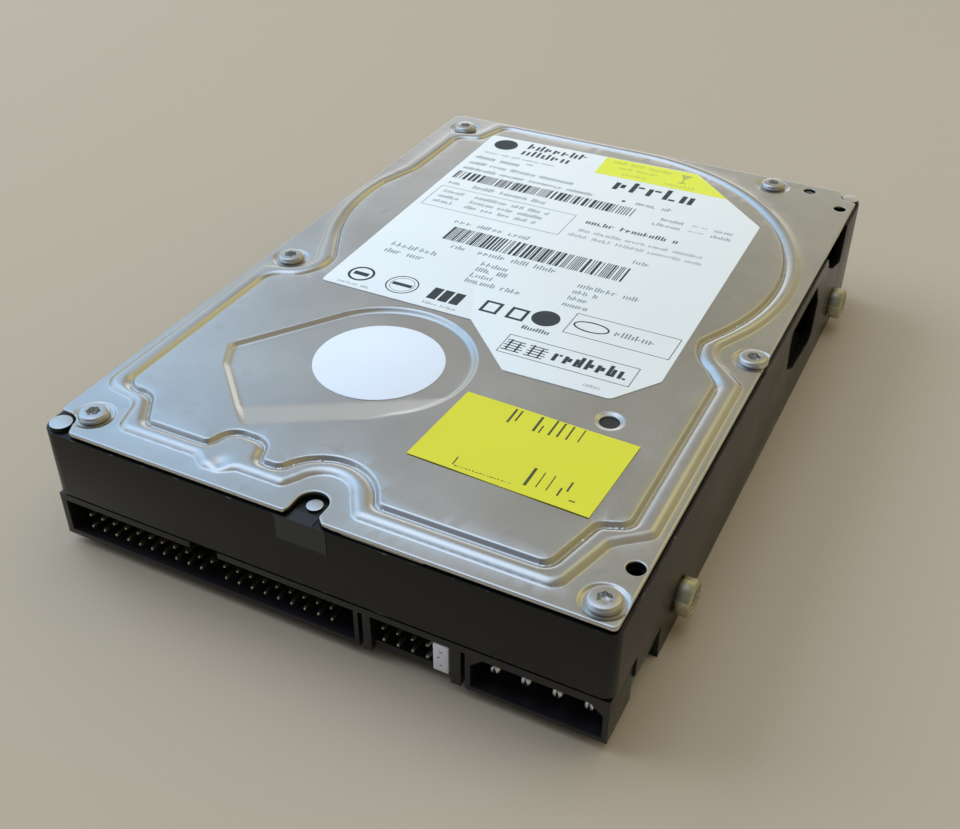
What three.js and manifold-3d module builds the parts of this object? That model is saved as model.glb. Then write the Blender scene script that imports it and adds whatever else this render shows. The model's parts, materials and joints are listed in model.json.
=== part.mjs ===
// A 3.5 inch hard disk drive: cast base, pressed cover, one platter on its spindle motor,
// a voice-coil head actuator, a circuit board and the block of connectors at the front.
// Millimetres, +Z up. The pieces are drawn with X across the drive from its middle, Y from the
// connector end and Z from the underside; the finished group is centred along its length.
import * as THREE from "three";
import { mergeVertices } from "three/addons/utils/BufferGeometryUtils.js";
import Module from "manifold-3d";

const wasm = await Module();
wasm.setup();

// ---------------------------------------------------------------- driving dimensions

const HALF_WIDTH = 50.8;
const LENGTH = 146.9;
const CASTING_TOP = 24.05;
const FLANGE_TOP = 25.2;
const SHEET = 0.6;
const PANEL_TOP = 25.95;
const BEAD_TOP = 25.9;
const SCREW_TOP = 26.1;
const DECK_TOP = 10.2;
const DECK_UNDER = 7.2;
const REST_GAP = 0.05;
const BEYOND = 1;

const SPINDLE = { x: -0.6, y: 97.2 };
const PIVOT = { x: -10.5, y: 41.1 };
const CHAMBER_RADIUS = 48.9;
const PANEL_RADIUS = 45.2;
const REST_ANGLE = 57.3;

const BOARD_TOP = 4.6;
const BOARD_UNDER = 3.0;
const BOARD_FRONT = 9.9;
const RAIL_INNER = 44.4;

const HOUSING = { x0: -50.1, x1: 50.4, y0: 0.3, y1: 9.6, z0: 1.9, z1: 10.7 };
const SOCKET_BACK = 7.2;
const PIN_PITCH = 2.54;
const PIN_TIP = 0.65;
const ROW_HIGH = 7.54;
const ROW_LOW = 5.0;
const DATA_PINS = 20;
const KEY_PIN = 10;
const DATA_FIRST_X = -44.4;
const JUMPER_PINS = 5;
const JUMPER_FIRST_X = 13.25;
const POWER_PITCH = 5.08;
const POWER_FIRST_X = 31.45;
const POWER_Z = 5.9;

const SIDE_SCREW_Z = 6.35;
const SIDE_SCREW_Y = [29.5, 131.1];
const BOTTOM_HOLE_X = 47.6;
const BOTTOM_HOLE_Y = [42.3, 86.7];

const COVER_SCREWS = {
  front_left: [-44.1, 6.1],
  front_right: [46.8, 4.5],
  middle_left: [-45.5, 65.5],
  middle_right: [48.0, 71.5],
  rear_left: [-44.5, 139.8],
  rear_right: [31.8, 142.7],
};
const BOARD_SCREWS = {
  front_left: [-39.5, 18],
  front_right: [39.5, 18],
  rear_left: [-39.5, 86],
  rear_right: [39.5, 86],
};
const BREATHER = { x: 32.4, y: 42.3 };
const SCREW_SHANK = 1.3;
const HEAD_SINK = 0.25;
const LABEL_GAP = 0.02;
const LABEL_THICK = 0.1;
const ROUND_LABEL = 11.7;

// ---------------------------------------------------------------- solids

const DEGREE = Math.PI / 180;

function solidOf(geometry) {
  const bare = geometry.index ? geometry.toNonIndexed() : geometry.clone();
  bare.deleteAttribute("normal");
  bare.deleteAttribute("uv");
  const merged = mergeVertices(bare, 1e-4);
  const corners = merged.index.array;
  const triangles = [];
  for (let i = 0; i < corners.length; i += 3) {
    const [a, b, c] = [corners[i], corners[i + 1], corners[i + 2]];
    if (a !== b && b !== c && c !== a) triangles.push(a, b, c);
  }
  return new wasm.Manifold(
    new wasm.Mesh({
      numProp: 3,
      vertProperties: new Float32Array(merged.attributes.position.array),
      triVerts: new Uint32Array(triangles),
    }),
  );
}

function geometryOf(solid) {
  const mesh = solid.getMesh();
  const geometry = new THREE.BufferGeometry();
  geometry.setAttribute("position", new THREE.BufferAttribute(mesh.vertProperties, 3));
  geometry.setIndex(new THREE.BufferAttribute(mesh.triVerts, 1));
  const flat = geometry.toNonIndexed();
  flat.computeVertexNormals();
  return flat;
}

function join(...solids) {
  return solids.reduce((whole, next) => whole.add(next));
}

function cut(whole, ...tools) {
  return tools.reduce((left, tool) => left.subtract(tool), whole);
}

function boxGeometry(x0, x1, y0, y1, z0, z1) {
  const geometry = new THREE.BoxGeometry(x1 - x0, y1 - y0, z1 - z0);
  geometry.translate((x0 + x1) / 2, (y0 + y1) / 2, (z0 + z1) / 2);
  return geometry;
}

function box(...sides) {
  return solidOf(boxGeometry(...sides));
}

function post(x, y, radius, z0, z1, sides = 16) {
  const geometry = new THREE.CylinderGeometry(radius, radius, z1 - z0, sides);
  geometry.rotateX(Math.PI / 2);
  geometry.translate(x, y, (z0 + z1) / 2);
  return solidOf(geometry);
}

// A solid of revolution about the z axis, from a profile of [radius, z] points.
function turned(profile, sides = 24) {
  const points = profile.map(([radius, z]) => new THREE.Vector2(radius, z));
  if (THREE.ShapeUtils.area(points) < 0) points.reverse();
  const geometry = new THREE.LatheGeometry(points, sides);
  geometry.rotateX(Math.PI / 2);
  return solidOf(geometry);
}

function ring(inner, outer, z0, z1, sides = 24) {
  const profile = [
    [inner, z0],
    [outer, z0],
    [outer, z1],
    [inner, z1],
    [inner, z0],
  ];
  return turned(profile, sides);
}

function prism(outline, z0, z1) {
  const geometry = new THREE.ExtrudeGeometry(new THREE.Shape(outline), {
    depth: z1 - z0,
    bevelEnabled: false,
  });
  geometry.translate(0, 0, z0);
  return solidOf(geometry);
}

// ---------------------------------------------------------------- outlines

const ARC_SAG = 0.13;
const COARSEST_TURN = 60;

function arcPoints(x, y, radius, from, to) {
  const turn = (2 * Math.acos(Math.max(1 - ARC_SAG / radius, 0))) / DEGREE;
  const count = Math.ceil(Math.abs(to - from) / Math.min(turn, COARSEST_TURN));
  const points = [];
  for (let i = 0; i <= count; i++) {
    const angle = (from + ((to - from) * i) / count) * DEGREE;
    points.push(new THREE.Vector2(x + radius * Math.cos(angle), y + radius * Math.sin(angle)));
  }
  return points;
}

// The arc of the given radius that rounds the corner between three points.
function corner(before, at, after, radius) {
  if (!radius) return [at.clone()];
  const back = before.clone().sub(at).normalize();
  const ahead = after.clone().sub(at).normalize();
  const half = Math.acos(THREE.MathUtils.clamp(back.dot(ahead), -1, 1)) / 2;
  const centre = back.clone().add(ahead).normalize().multiplyScalar(radius / Math.sin(half)).add(at);
  const start = at.clone().addScaledVector(back, radius / Math.tan(half)).sub(centre);
  const turn = 180 - (2 * half) / DEGREE;
  const sign = back.cross(ahead) < 0 ? 1 : -1;
  const from = start.angle() / DEGREE;
  return arcPoints(centre.x, centre.y, radius, from, from + sign * turn);
}

// A closed outline from corners [x, y, radius] and arcs { x, y, r, from, to }.
function outline(parts) {
  const ends = parts.map((part) => {
    if (Array.isArray(part)) {
      const at = new THREE.Vector2(part[0], part[1]);
      return { first: at, last: at, radius: part[2] ?? 0 };
    }
    const points = arcPoints(part.x, part.y, part.r, part.from, part.to);
    return { first: points[0], last: points.at(-1), points };
  });
  return ends.flatMap((end, i) => {
    if (end.points) return end.points;
    const before = ends.at(i - 1).last;
    const after = ends[(i + 1) % ends.length].first;
    return corner(before, end.first, after, end.radius);
  });
}

// The same closed outline moved outwards by a small distance, or inwards if it is negative.
function grown(points, distance) {
  const winding = THREE.ShapeUtils.area(points) > 0 ? 1 : -1;
  return points.map((at, i) => {
    const before = points.at(i - 1);
    const after = points[(i + 1) % points.length];
    const along = after.clone().sub(before).normalize();
    const outward = new THREE.Vector2(along.y, -along.x).multiplyScalar(winding * distance);
    return at.clone().add(outward);
  });
}

// A sector of a ring about the origin, angles in degrees.
function sector(inner, outer, from, to, z0, z1) {
  const far = arcPoints(0, 0, outer, from, to);
  const near = arcPoints(0, 0, inner, to, from);
  return prism([...far, ...near], z0, z1);
}

// Where the cover's raised panel drops to the groove round it.
const PANEL_RIM = outline([
  [-34.6, 142.4, 2],
  [-37.2, 134.0, 3],
  [-42.45, 132.4, 2.5],
  [-42.45, 112.5, 8],
  { ...SPINDLE, r: PANEL_RADIUS, from: 172, to: 209 },
  { x: -45.4, y: 66.2, r: 8.9, from: 22, to: -55 },
  [-44.66, 57.0, 3.5],
  [-44.66, 15.35, 2.5],
  [-38.7, 15.15, 4.0],
  [-34.5, 8.5, 1.5],
  [-22.75, 8.5, 1],
  [-21.25, 13.15, 3.6],
  [-13.7, 13.15, 3.6],
  [-12.2, 8.5, 1],
  [-9.6, 8.5, 0.6],
  { x: -0.1, y: 4.8, r: 9.6, from: 154, to: 32 },
  [9.5, 7.5, 1.2],
  [37.0, 7.5, 1.8],
  [39.8, 18.5, 2.5],
  [44.3, 20.4, 1.8],
  [44.3, 60.6, 3],
  { x: 47.9, y: 72.2, r: 10.2, from: 232, to: 178 },
  { ...SPINDLE, r: PANEL_RADIUS, from: -29, to: 90 },
]);

// Where the rounded bead outside that groove comes down to the flange.
const BEAD_FOOT = outline([
  [-38.9, 146.1, 1.9],
  [-40.6, 137.2, 2.5],
  [-46.9, 135.6, 2],
  [-46.9, 114.0, 6],
  { ...SPINDLE, r: CHAMBER_RADIUS, from: 171, to: 207 },
  { x: -45.4, y: 66.2, r: 4.7, from: 35, to: -65 },
  [-48.9, 60.2, 2.0],
  [-48.9, 13.4, 3.6],
  [-40.6, 12.2, 3],
  [-38.4, 4.75, 2.6],
  [-22.6, 4.75, 1.5],
  [-20.3, 3.0, 1.9],
  [-17.0, 3.0, 1.9],
  [-14.7, 4.7, 1.5],
  [-6.2, 4.7, 1.6],
  { x: 0, y: 5.7, r: 4.8, from: 160, to: 24 },
  [7.2, 3.45, 2],
  [40.3, 3.45, 3],
  [43.6, 15.2, 3],
  [48.85, 19.6, 2.5],
  [48.85, 62.6, 2.5],
  { x: 48.2, y: 72.0, r: 6.4, from: 235, to: 172 },
  { ...SPINDLE, r: CHAMBER_RADIUS, from: -21, to: 90 },
]);

// The cover's edge, notched round the front-left and rear-right corner pads and at the front.
const COVER_EDGE = outline([
  [-50.3, 5.1, 0.5],
  [-46.6, 4.8, 1.8],
  [-44.6, 0.45, 0.6],
  [-3.0, 0.45, 0.4],
  [-2.6, 1.4, 0.6],
  { x: 0, y: 3.85, r: 2.6, from: 180, to: 0 },
  [2.6, 1.6, 0.8],
  [3.8, 0.45, 0.6],
  [50.3, 0.45, 1],
  [50.3, 142.3, 0.5],
  [46.9, 143.0, 1.8],
  [46.0, 146.8, 0.6],
  [-50.3, 146.8, 2.5],
]);

// The depressed pocket over the head actuator: round, with a pointed bay towards the coil.
const COVER_POCKET = outline([
  { ...PIVOT, r: 17.2, from: -33, to: 141 },
  [-36.8, 33.3, 2],
  [-34.3, 28.3, 2],
  [-20.3, 15.6, 1.5],
  [-17.2, 16.4, 1],
]);

const INFO_LABEL = outline([
  [-35.65, 137.6, 1],
  [-34.5, 59.7, 1],
  [-2.0, 59.8, 1],
  [10.4, 47.5, 1],
  [30.2, 47.9, 1.5],
  [36.2, 56.6, 1],
  [35.2, 119.8, 1],
  [15.3, 138.9, 1],
]);

const YELLOW_STICKER = outline([
  [8.1, 39.1],
  [7.2, 19.8],
  [38.6, 18.5],
  [39.4, 37.9],
]);

// ---------------------------------------------------------------- materials

function finish(color, roughness, metalness) {
  return new THREE.MeshStandardMaterial({ color, roughness, metalness });
}

const BLACK_PAINT = finish(0x1c1c1f, 0.42, 0.1);
const STAINLESS = finish(0xb4b6b4, 0.32, 1);
const SEAL_FOAM = finish(0x151515, 0.95, 0);
const SCREW_STEEL = finish(0xc4c6c6, 0.25, 1);
const ZINC_YELLOW = finish(0x9a9a78, 0.35, 1);
const LABEL_PAPER = finish(0xdde6ea, 0.6, 0);
const WHITE_LABEL = finish(0xe8eef5, 0.55, 0);
const STICKER = finish(0xcfd73e, 0.6, 0);
const CLEAR_TAPE = finish(0x22262a, 0.2, 0);
const BOARD_GREEN = finish(0x1f5a36, 0.5, 0);
const CHIP_BLACK = finish(0x1a1a1c, 0.6, 0);
const INSULATOR = finish(0x3a3a3a, 0.9, 0);
const CONNECTOR_BLACK = finish(0x151618, 0.5, 0);
const PIN_GOLD = finish(0xb9a25c, 0.3, 1);
const PIN_TIN = finish(0xb8b8ba, 0.3, 1);
const SHUNT_WHITE = finish(0xe4e4ea, 0.5, 0);
const MACHINED = finish(0xb9bbbd, 0.35, 1);
const DISC = finish(0x8d8a86, 0.05, 1);
const COPPER = finish(0xa8602f, 0.4, 1);
const MAGNET = finish(0x8f9295, 0.3, 1);
const POLYIMIDE = finish(0x9a5a1e, 0.5, 0);
const FILTER = finish(0xe6e4dc, 0.9, 0);

// ---------------------------------------------------------------- chassis

const SHANK_HOLE = 1.45;
const HOLLOW = { x0: 22, y1: 143.9 };
const SCREW_BLOCK = { y0: 125.6, y1: 136.6, top: 11 };
const CORNER_COLUMN = [48.2, 144.4, 3.4];
const OPENING_TOP = 21.5;
const OPENING_DEPTH = 5;
const SILL = { y1: 12.6, top: 13.6 };
const UNDERSIDE_END = 143;
const CONNECTOR_BAY = { y1: 9.75, top: 11.3 };
const BOARD_NOTCH = { y0: 9, y1: 21, top: 6.9 };
const PIN_TAIL_ROOM = [-46, 48.4, 9, 14.6, 0, 8.6];
const MOTOR_RECESS = 1.5;
const RIB_ANGLES = [40, 65, 115, 140];
const RIB = { reach: 40, half: 0.8, under: 3.4 };
const STATOR_SEAT_TOP = 14.2;
const BOARD_POST = { radius: 3.1, bore: 1.25, depth: 9.2 };
const CORNER_PADS = [
  [-48.0, 2.5, 1.9, 24.9],
  [48.7, 144.8, 1.75, 24.9],
  [0.2, 4.2, 1.3, 24.5],
];
const PAD_ROOT = 20;
const COVER_PIN = { x: 48.3, y: 12.6, bore: 1.2, cover: 1.4, foot: 18 };
const SIDE_BORE = { radius: 1.75, length: 12 };
const BOTTOM_BORE = { radius: 1.6, depth: 5.5 };
const PAST_SIDES = 60;
const SHANK_FOOT = 16;
const SCREW_POST = 3.0;
const HOLLOW_WALL = 49.6;
const SKIN = 49.5;
const MOTOR_BOSS = 20;
const STATOR_SEAT = 5.3;
const SHAFT_RADIUS = 2;
const SHAFT_HOLE = SHAFT_RADIUS + 0.1;

// The hollow between the disc chamber and the right rear corner, open below and to the side.
function rearHollow() {
  const corner = box(HOLLOW.x0, SKIN, SPINDLE.y, HOLLOW.y1, -BEYOND, CASTING_TOP + BEYOND);
  const chamber = post(SPINDLE.x, SPINDLE.y, HOLLOW_WALL, -2 * BEYOND, 2 * CASTING_TOP, 48);
  const { y0, y1, top } = SCREW_BLOCK;
  const screwBlock = box(RAIL_INNER, SKIN + BEYOND, y0, y1, -2 * BEYOND, top);
  const [x, y] = COVER_SCREWS.rear_right;
  const screwColumn = post(x, y, SCREW_POST + 0.2, -2 * BEYOND, 2 * CASTING_TOP);
  const cornerColumn = post(...CORNER_COLUMN, -2 * BEYOND, 2 * CASTING_TOP);
  return cut(corner, chamber, screwBlock, screwColumn, cornerColumn);
}

// The two openings through the right side wall into that hollow.
function sideOpenings() {
  const window = outline([
    [89, OPENING_TOP, 1.5],
    [90.5, 12.5, 2],
    [97, 9.2, 3],
    [112, 7.4, 1.5],
    [113, 16, 2],
    [109, OPENING_TOP, 1.5],
  ]);
  const slot = outline([
    [115, CASTING_TOP + BEYOND],
    [118.5, 21, 1],
    [124, 18.2, 1],
    [132.4, 15.6, 1],
    [133.4, CASTING_TOP + BEYOND],
  ]);
  return [window, slot].map((shape) => {
    const geometry = new THREE.ExtrudeGeometry(new THREE.Shape(shape), {
      depth: OPENING_DEPTH,
      bevelEnabled: false,
    });
    geometry.rotateX(Math.PI / 2);
    geometry.rotateZ(Math.PI / 2);
    geometry.translate(SKIN - 0.3, 0, 0);
    return solidOf(geometry);
  });
}

function baseCasting() {
  const plan = outline([
    [-HALF_WIDTH, 0.1, 3],
    [HALF_WIDTH, 0.1, 2],
    [HALF_WIDTH, LENGTH, 3],
    [-HALF_WIDTH, LENGTH, 3],
  ]);
  const block = prism(plan, 0, CASTING_TOP);
  const frontSill = box(-HALF_WIDTH, HALF_WIDTH, 0, SILL.y1, 0, SILL.top);
  const chamber = prism(grown(BEAD_FOOT, -0.6), DECK_TOP, CASTING_TOP + BEYOND).subtract(frontSill);
  const underside = cut(
    box(-RAIL_INNER, RAIL_INNER, -BEYOND, UNDERSIDE_END, -BEYOND, DECK_UNDER),
    post(SPINDLE.x, SPINDLE.y, MOTOR_BOSS, -2 * BEYOND, DECK_UNDER + BEYOND, 40),
  );
  const across = [-PAST_SIDES, PAST_SIDES];
  const connectorBay = box(...across, -BEYOND, CONNECTOR_BAY.y1, -BEYOND, CONNECTOR_BAY.top);
  const boardNotch = box(...across, BOARD_NOTCH.y0, BOARD_NOTCH.y1, -BEYOND, BOARD_NOTCH.top);
  const tailRoom = box(...PIN_TAIL_ROOM);
  let body = cut(block, chamber, underside, connectorBay, boardNotch, tailRoom);
  body = cut(body, rearHollow(), ...sideOpenings());
  body = cut(body, post(SPINDLE.x, SPINDLE.y, MOTOR_BOSS - 1, -BEYOND, MOTOR_RECESS, 40));

  const ribs = RIB_ANGLES.map((angle) => {
    const rib = boxGeometry(
      MOTOR_BOSS - 1, RIB.reach, -RIB.half, RIB.half, RIB.under, DECK_UNDER + 0.5);
    rib.rotateZ(angle * DEGREE);
    rib.translate(SPINDLE.x, SPINDLE.y, 0);
    return solidOf(rib);
  });
  body = join(body, ...ribs);

  body = body.add(post(SPINDLE.x, SPINDLE.y, STATOR_SEAT, DECK_TOP - 0.5, STATOR_SEAT_TOP, 24));
  body = body.subtract(post(SPINDLE.x, SPINDLE.y, SHAFT_HOLE, 0, STATOR_SEAT_TOP + BEYOND, 24));

  for (const [x, y] of Object.values(BOARD_SCREWS)) {
    body = body.add(post(x, y, BOARD_POST.radius, BOARD_TOP + REST_GAP, DECK_UNDER + 0.5));
    body = body.subtract(post(x, y, BOARD_POST.bore, 0, BOARD_POST.depth, 12));
  }
  for (const [x, y] of Object.values(COVER_SCREWS)) {
    const column = post(x, y, SCREW_POST, PAD_ROOT, FLANGE_TOP - SHEET - REST_GAP);
    const within = box(-HALF_WIDTH, HALF_WIDTH, 0.1, LENGTH, 0, 30);
    body = body.add(column.intersect(within));
    body = body.subtract(post(x, y, SHANK_HOLE, SHANK_FOOT, 30, 12));
  }
  const pads = CORNER_PADS.map(([x, y, radius, top]) => post(x, y, radius, PAD_ROOT, top));
  body = join(body, ...pads);
  body = body.subtract(post(COVER_PIN.x, COVER_PIN.y, COVER_PIN.bore, COVER_PIN.foot, 30, 12));

  for (const side of [-1, 1]) {
    for (const y of SIDE_SCREW_Y) {
      const { radius, length } = SIDE_BORE;
      const geometry = new THREE.CylinderGeometry(radius, radius, length, 12);
      geometry.rotateZ(Math.PI / 2);
      geometry.translate(side * HALF_WIDTH, y, SIDE_SCREW_Z);
      body = body.subtract(solidOf(geometry));
    }
    for (const y of BOTTOM_HOLE_Y) {
      const { radius, depth } = BOTTOM_BORE;
      body = body.subtract(post(side * BOTTOM_HOLE_X, y, radius, -BEYOND, depth, 12));
    }
  }
  return body;
}

const COVER_HOLES = [
  [COVER_PIN.x, COVER_PIN.y, COVER_PIN.cover],
  [39.8, 143.7, 1.3],
  [47.8, 138.0, 1.3],
  [BREATHER.x, BREATHER.y, 1.7],
];
const PIVOT_DIMPLE = { radius: 4.0, depth: 0.7, hole: 1.6 };
const BEAD_INSET = 0.9;
const GROOVE_WIDTH = 1.5;
const SCREW_DISH = 3.2;
const COVER_SCREW_HOLE = 1.6;

function topCover() {
  const under = FLANGE_TOP - SHEET;
  const plate = prism(COVER_EDGE, under, FLANGE_TOP);
  const bead = prism(grown(BEAD_FOOT, -BEAD_INSET), under, BEAD_TOP);
  const groove = prism(grown(PANEL_RIM, GROOVE_WIDTH), FLANGE_TOP, BEAD_TOP + BEYOND);
  const panel = prism(PANEL_RIM, under, PANEL_TOP);
  const pocket = prism(COVER_POCKET, FLANGE_TOP, PANEL_TOP + BEYOND);
  let body = join(plate, bead).subtract(groove);
  body = join(body, panel).subtract(pocket);

  const pocketFloor = prism(grown(COVER_POCKET, SHEET), under - BEYOND, PANEL_TOP);
  const panelUnder = prism(grown(PANEL_RIM, -SHEET), under - BEYOND, PANEL_TOP - SHEET);
  const beadSkin = grown(BEAD_FOOT, -(BEAD_INSET + 0.5));
  const beadUnder = prism(beadSkin, under - BEYOND, BEAD_TOP - SHEET);
  const grooveKept = prism(grown(PANEL_RIM, GROOVE_WIDTH + 0.5), under - 2 * BEYOND, PANEL_TOP);
  body = cut(body, panelUnder.subtract(pocketFloor), beadUnder.subtract(grooveKept));

  for (const [x, y] of Object.values(COVER_SCREWS)) {
    body = cut(
      body,
      post(x, y, SCREW_DISH, FLANGE_TOP - HEAD_SINK, FLANGE_TOP + BEYOND, 14),
      post(x, y, COVER_SCREW_HOLE, under - BEYOND, FLANGE_TOP + BEYOND, 12),
    );
  }
  for (const [x, y, radius] of COVER_HOLES) {
    body = body.subtract(post(x, y, radius, under - BEYOND, PANEL_TOP + BEYOND, 12));
  }
  const { radius, depth, hole } = PIVOT_DIMPLE;
  body = body.add(post(PIVOT.x, PIVOT.y, radius + SHEET, under - depth, under + 0.1));
  body = body.subtract(post(PIVOT.x, PIVOT.y, radius, under - 0.1, FLANGE_TOP + BEYOND));
  return body.subtract(post(PIVOT.x, PIVOT.y, hole, under - BEYOND, under + BEYOND, 12));
}

const GASKET_GAP = 0.03;

function coverGasket() {
  const z0 = CASTING_TOP + GASKET_GAP;
  const z1 = FLANGE_TOP - SHEET - GASKET_GAP;
  const outer = prism(grown(BEAD_FOOT, 0.4), z0, z1);
  return outer.subtract(prism(grown(BEAD_FOOT, -0.5), z0 - BEYOND, z1 + BEYOND));
}

// A six-sided driver recess, to cut from a screw head.
function driverRecess(radius, z0, z1) {
  return post(0, 0, radius, z0, z1, 6);
}

const COVER_HEAD = { radius: 2.6, round: 0.3 };

function coverScrew() {
  const seat = FLANGE_TOP - HEAD_SINK + REST_GAP;
  const { radius, round } = COVER_HEAD;
  const profile = [
    [0, SHANK_FOOT + 1],
    [SCREW_SHANK - 0.4, SHANK_FOOT + 1],
    [SCREW_SHANK, SHANK_FOOT + 2],
    [SCREW_SHANK, seat],
    [radius, seat],
    [radius, SCREW_TOP - round],
    [radius - round, SCREW_TOP],
    [0, SCREW_TOP],
  ];
  return turned(profile, 14).subtract(driverRecess(1.1, SCREW_TOP - 0.7, SCREW_TOP + BEYOND));
}

const RAIL_HEAD = { radius: 3.3, neck: 2.6, under: 0.33, top: 2.75 };

// A side screw with a tall round head on a short neck, standing on the plane z = 0.
function railScrew() {
  const { radius, neck, under, top } = RAIL_HEAD;
  const shank = 1.6;
  const tip = -5;
  const profile = [
    [0, tip],
    [shank - 0.4, tip],
    [shank, tip + 0.8],
    [shank, REST_GAP],
    [neck, REST_GAP],
    [neck, under],
    [radius, under],
    [radius, top - 0.5],
    [radius - 0.4, top],
    [0, top],
  ];
  return turned(profile, 16).subtract(driverRecess(1.7, top - 1.4, top + BEYOND));
}

const TAPE = { x0: -4.4, x1: 4.6, foot: 19.5, thick: 0.08, tab: 2.2, reach: 2.4 };

// The seal folded over the front edge: a strip down the wall and a tab on the casting's top.
function frontTape() {
  const top = CASTING_TOP + 0.15;
  const down = box(TAPE.x0, TAPE.x1, 0, TAPE.thick, TAPE.foot, top);
  const over = box(-TAPE.tab, TAPE.tab, 0, TAPE.reach, CASTING_TOP + 0.03, top);
  return join(down, over);
}

// ---------------------------------------------------------------- board and connectors

const BOARD_EARS = { half: 50, y1: 20.5 };
const BOARD_FIELD = { half: 43.9, y0: 20, y1: 92 };
const MOTOR_CLEARANCE = 22.5;

function circuitBoard() {
  const { half, y0, y1 } = BOARD_FIELD;
  const ears = box(
    -BOARD_EARS.half, BOARD_EARS.half, BOARD_FRONT, BOARD_EARS.y1, BOARD_UNDER, BOARD_TOP);
  const field = box(-half, half, y0, y1, BOARD_UNDER, BOARD_TOP);
  const motorGap = post(SPINDLE.x, SPINDLE.y, MOTOR_CLEARANCE, 0, 10, 40);
  const holes = Object.values(BOARD_SCREWS).map(([x, y]) => post(x, y, 1.5, 0, 10, 12));
  return cut(join(ears, field), motorGap, ...holes);
}

function boardInsulator() {
  const sheet = box(-35, 35, 15, 90, BOARD_TOP + 0.2, BOARD_TOP + 1.2);
  return sheet.subtract(post(SPINDLE.x, SPINDLE.y, MOTOR_CLEARANCE + 1, 0, 10, 40));
}

// A flat chip under the board: body with sloped sides on a thin frame of leads.
function chip(width, depth) {
  const top = BOARD_UNDER - REST_GAP;
  const [w, d] = [width / 2, depth / 2];
  const leads = box(-w - 1, w + 1, -d - 1, d + 1, top - 0.15, top);
  return join(box(-w, w, -d, d, top - 1.6, top), leads);
}

function boardScrew() {
  const seat = BOARD_UNDER - REST_GAP;
  const profile = [
    [0, seat - 1.1],
    [1.8, seat - 1.1],
    [2.3, seat - 0.6],
    [2.3, seat],
    [1.1, seat],
    [1.1, 8.6],
    [0, 8.6],
  ];
  return turned(profile, 12).subtract(driverRecess(1.1, seat - 2, seat - 0.5));
}

function rowSlot(firstX, count, z) {
  const x1 = firstX + (count - 1) * PIN_PITCH;
  return box(firstX - 0.6, x1 + 0.6, SOCKET_BACK - BEYOND, HOUSING.y1 + BEYOND, z - 0.45, z + 0.45);
}

const POWER_SOCKET = [28.4, 49.5, 2.8, 9.2];
const DATA_SOCKET = { x0: -48.9, x1: 8.2, z0: 3.0 };
const JUMPER_SOCKET = { x0: 11.2, x1: 25.1, z0: 3.4, sill: 1.2 };
const SOCKET_TOP = 9.45;
const KEYWAY = [-22.7, -17.2];
const SLITS = [
  [9.0, 9.8],
  [26.8, 27.5],
];
const SLIT_DEPTH = 5;

// The power socket's opening: a rectangle with its two upper corners cut off.
function powerSocket() {
  const [x0, x1, z0, z1] = POWER_SOCKET;
  const shape = [
    [x0, z0],
    [x1, z0],
    [x1, z1 - 1.8],
    [x1 - 2, z1],
    [x0 + 2, z1],
    [x0, z1 - 1.8],
  ].map(([x, z]) => new THREE.Vector2(x, z));
  const geometry = new THREE.ExtrudeGeometry(new THREE.Shape(shape), {
    depth: SOCKET_BACK + BEYOND,
    bevelEnabled: false,
  });
  geometry.rotateX(Math.PI / 2);
  geometry.translate(0, SOCKET_BACK, 0);
  return solidOf(geometry);
}

function alongY(radius, x, z, y0, y1, sides = 16) {
  const geometry = new THREE.CylinderGeometry(radius, radius, y1 - y0, sides);
  geometry.translate(x, (y0 + y1) / 2, z);
  return solidOf(geometry);
}

function powerPinX(i) {
  return POWER_FIRST_X + i * POWER_PITCH;
}

function connectorHousing() {
  const { x0, x1, y0, y1, z0, z1 } = HOUSING;
  const front = y0 - BEYOND;
  const data = DATA_SOCKET;
  const jumper = JUMPER_SOCKET;
  let body = box(x0, x1, y0, y1, z0, z1);
  body = cut(
    body,
    box(data.x0, data.x1, front, SOCKET_BACK, data.z0, SOCKET_TOP),
    box(...KEYWAY, front, SOCKET_BACK, SOCKET_TOP - 0.45, z1 + BEYOND),
    box(jumper.x0, jumper.x1, front, SOCKET_BACK, jumper.z0, SOCKET_TOP),
    box(jumper.x0, jumper.x1, front, y0 + jumper.sill, z0 - BEYOND, SOCKET_TOP),
    ...SLITS.map(([a, b]) => box(a, b, front, SLIT_DEPTH, z0 - BEYOND, SOCKET_TOP)),
    powerSocket(),
    rowSlot(DATA_FIRST_X, DATA_PINS, ROW_HIGH),
    rowSlot(DATA_FIRST_X, DATA_PINS, ROW_LOW),
    rowSlot(JUMPER_FIRST_X, JUMPER_PINS, ROW_HIGH),
    rowSlot(JUMPER_FIRST_X, JUMPER_PINS, ROW_LOW),
  );
  for (let i = 0; i < 4; i++) {
    body = body.subtract(alongY(1.2, powerPinX(i), POWER_Z, SOCKET_BACK - BEYOND, y1 + BEYOND, 12));
  }
  return body;
}

// One row of square pins. A strip in the housing's back wall holds them and runs back,
// as their tails do, to stand on the board.
function pinRow(firstX, count, z, missing, tailEnd) {
  const x1 = firstX + (count - 1) * PIN_PITCH;
  const half = 0.32;
  const strip = box(firstX - 0.5, x1 + 0.5, SOCKET_BACK + 0.1, HOUSING.y1, z - half, z + half);
  let row = strip;
  for (let i = 0; i < count; i++) {
    if (i === missing) continue;
    const x = firstX + i * PIN_PITCH;
    row = row.add(box(x - half, x + half, PIN_TIP, HOUSING.y1, z - half, z + half));
  }
  const tails = box(firstX - half, x1 + half, HOUSING.y1 - half, tailEnd, z - half, z + half);
  const foot = BOARD_TOP + REST_GAP;
  return join(row, tails, box(firstX - half, x1 + half, tailEnd - 2 * half, tailEnd, foot, z));
}

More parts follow.
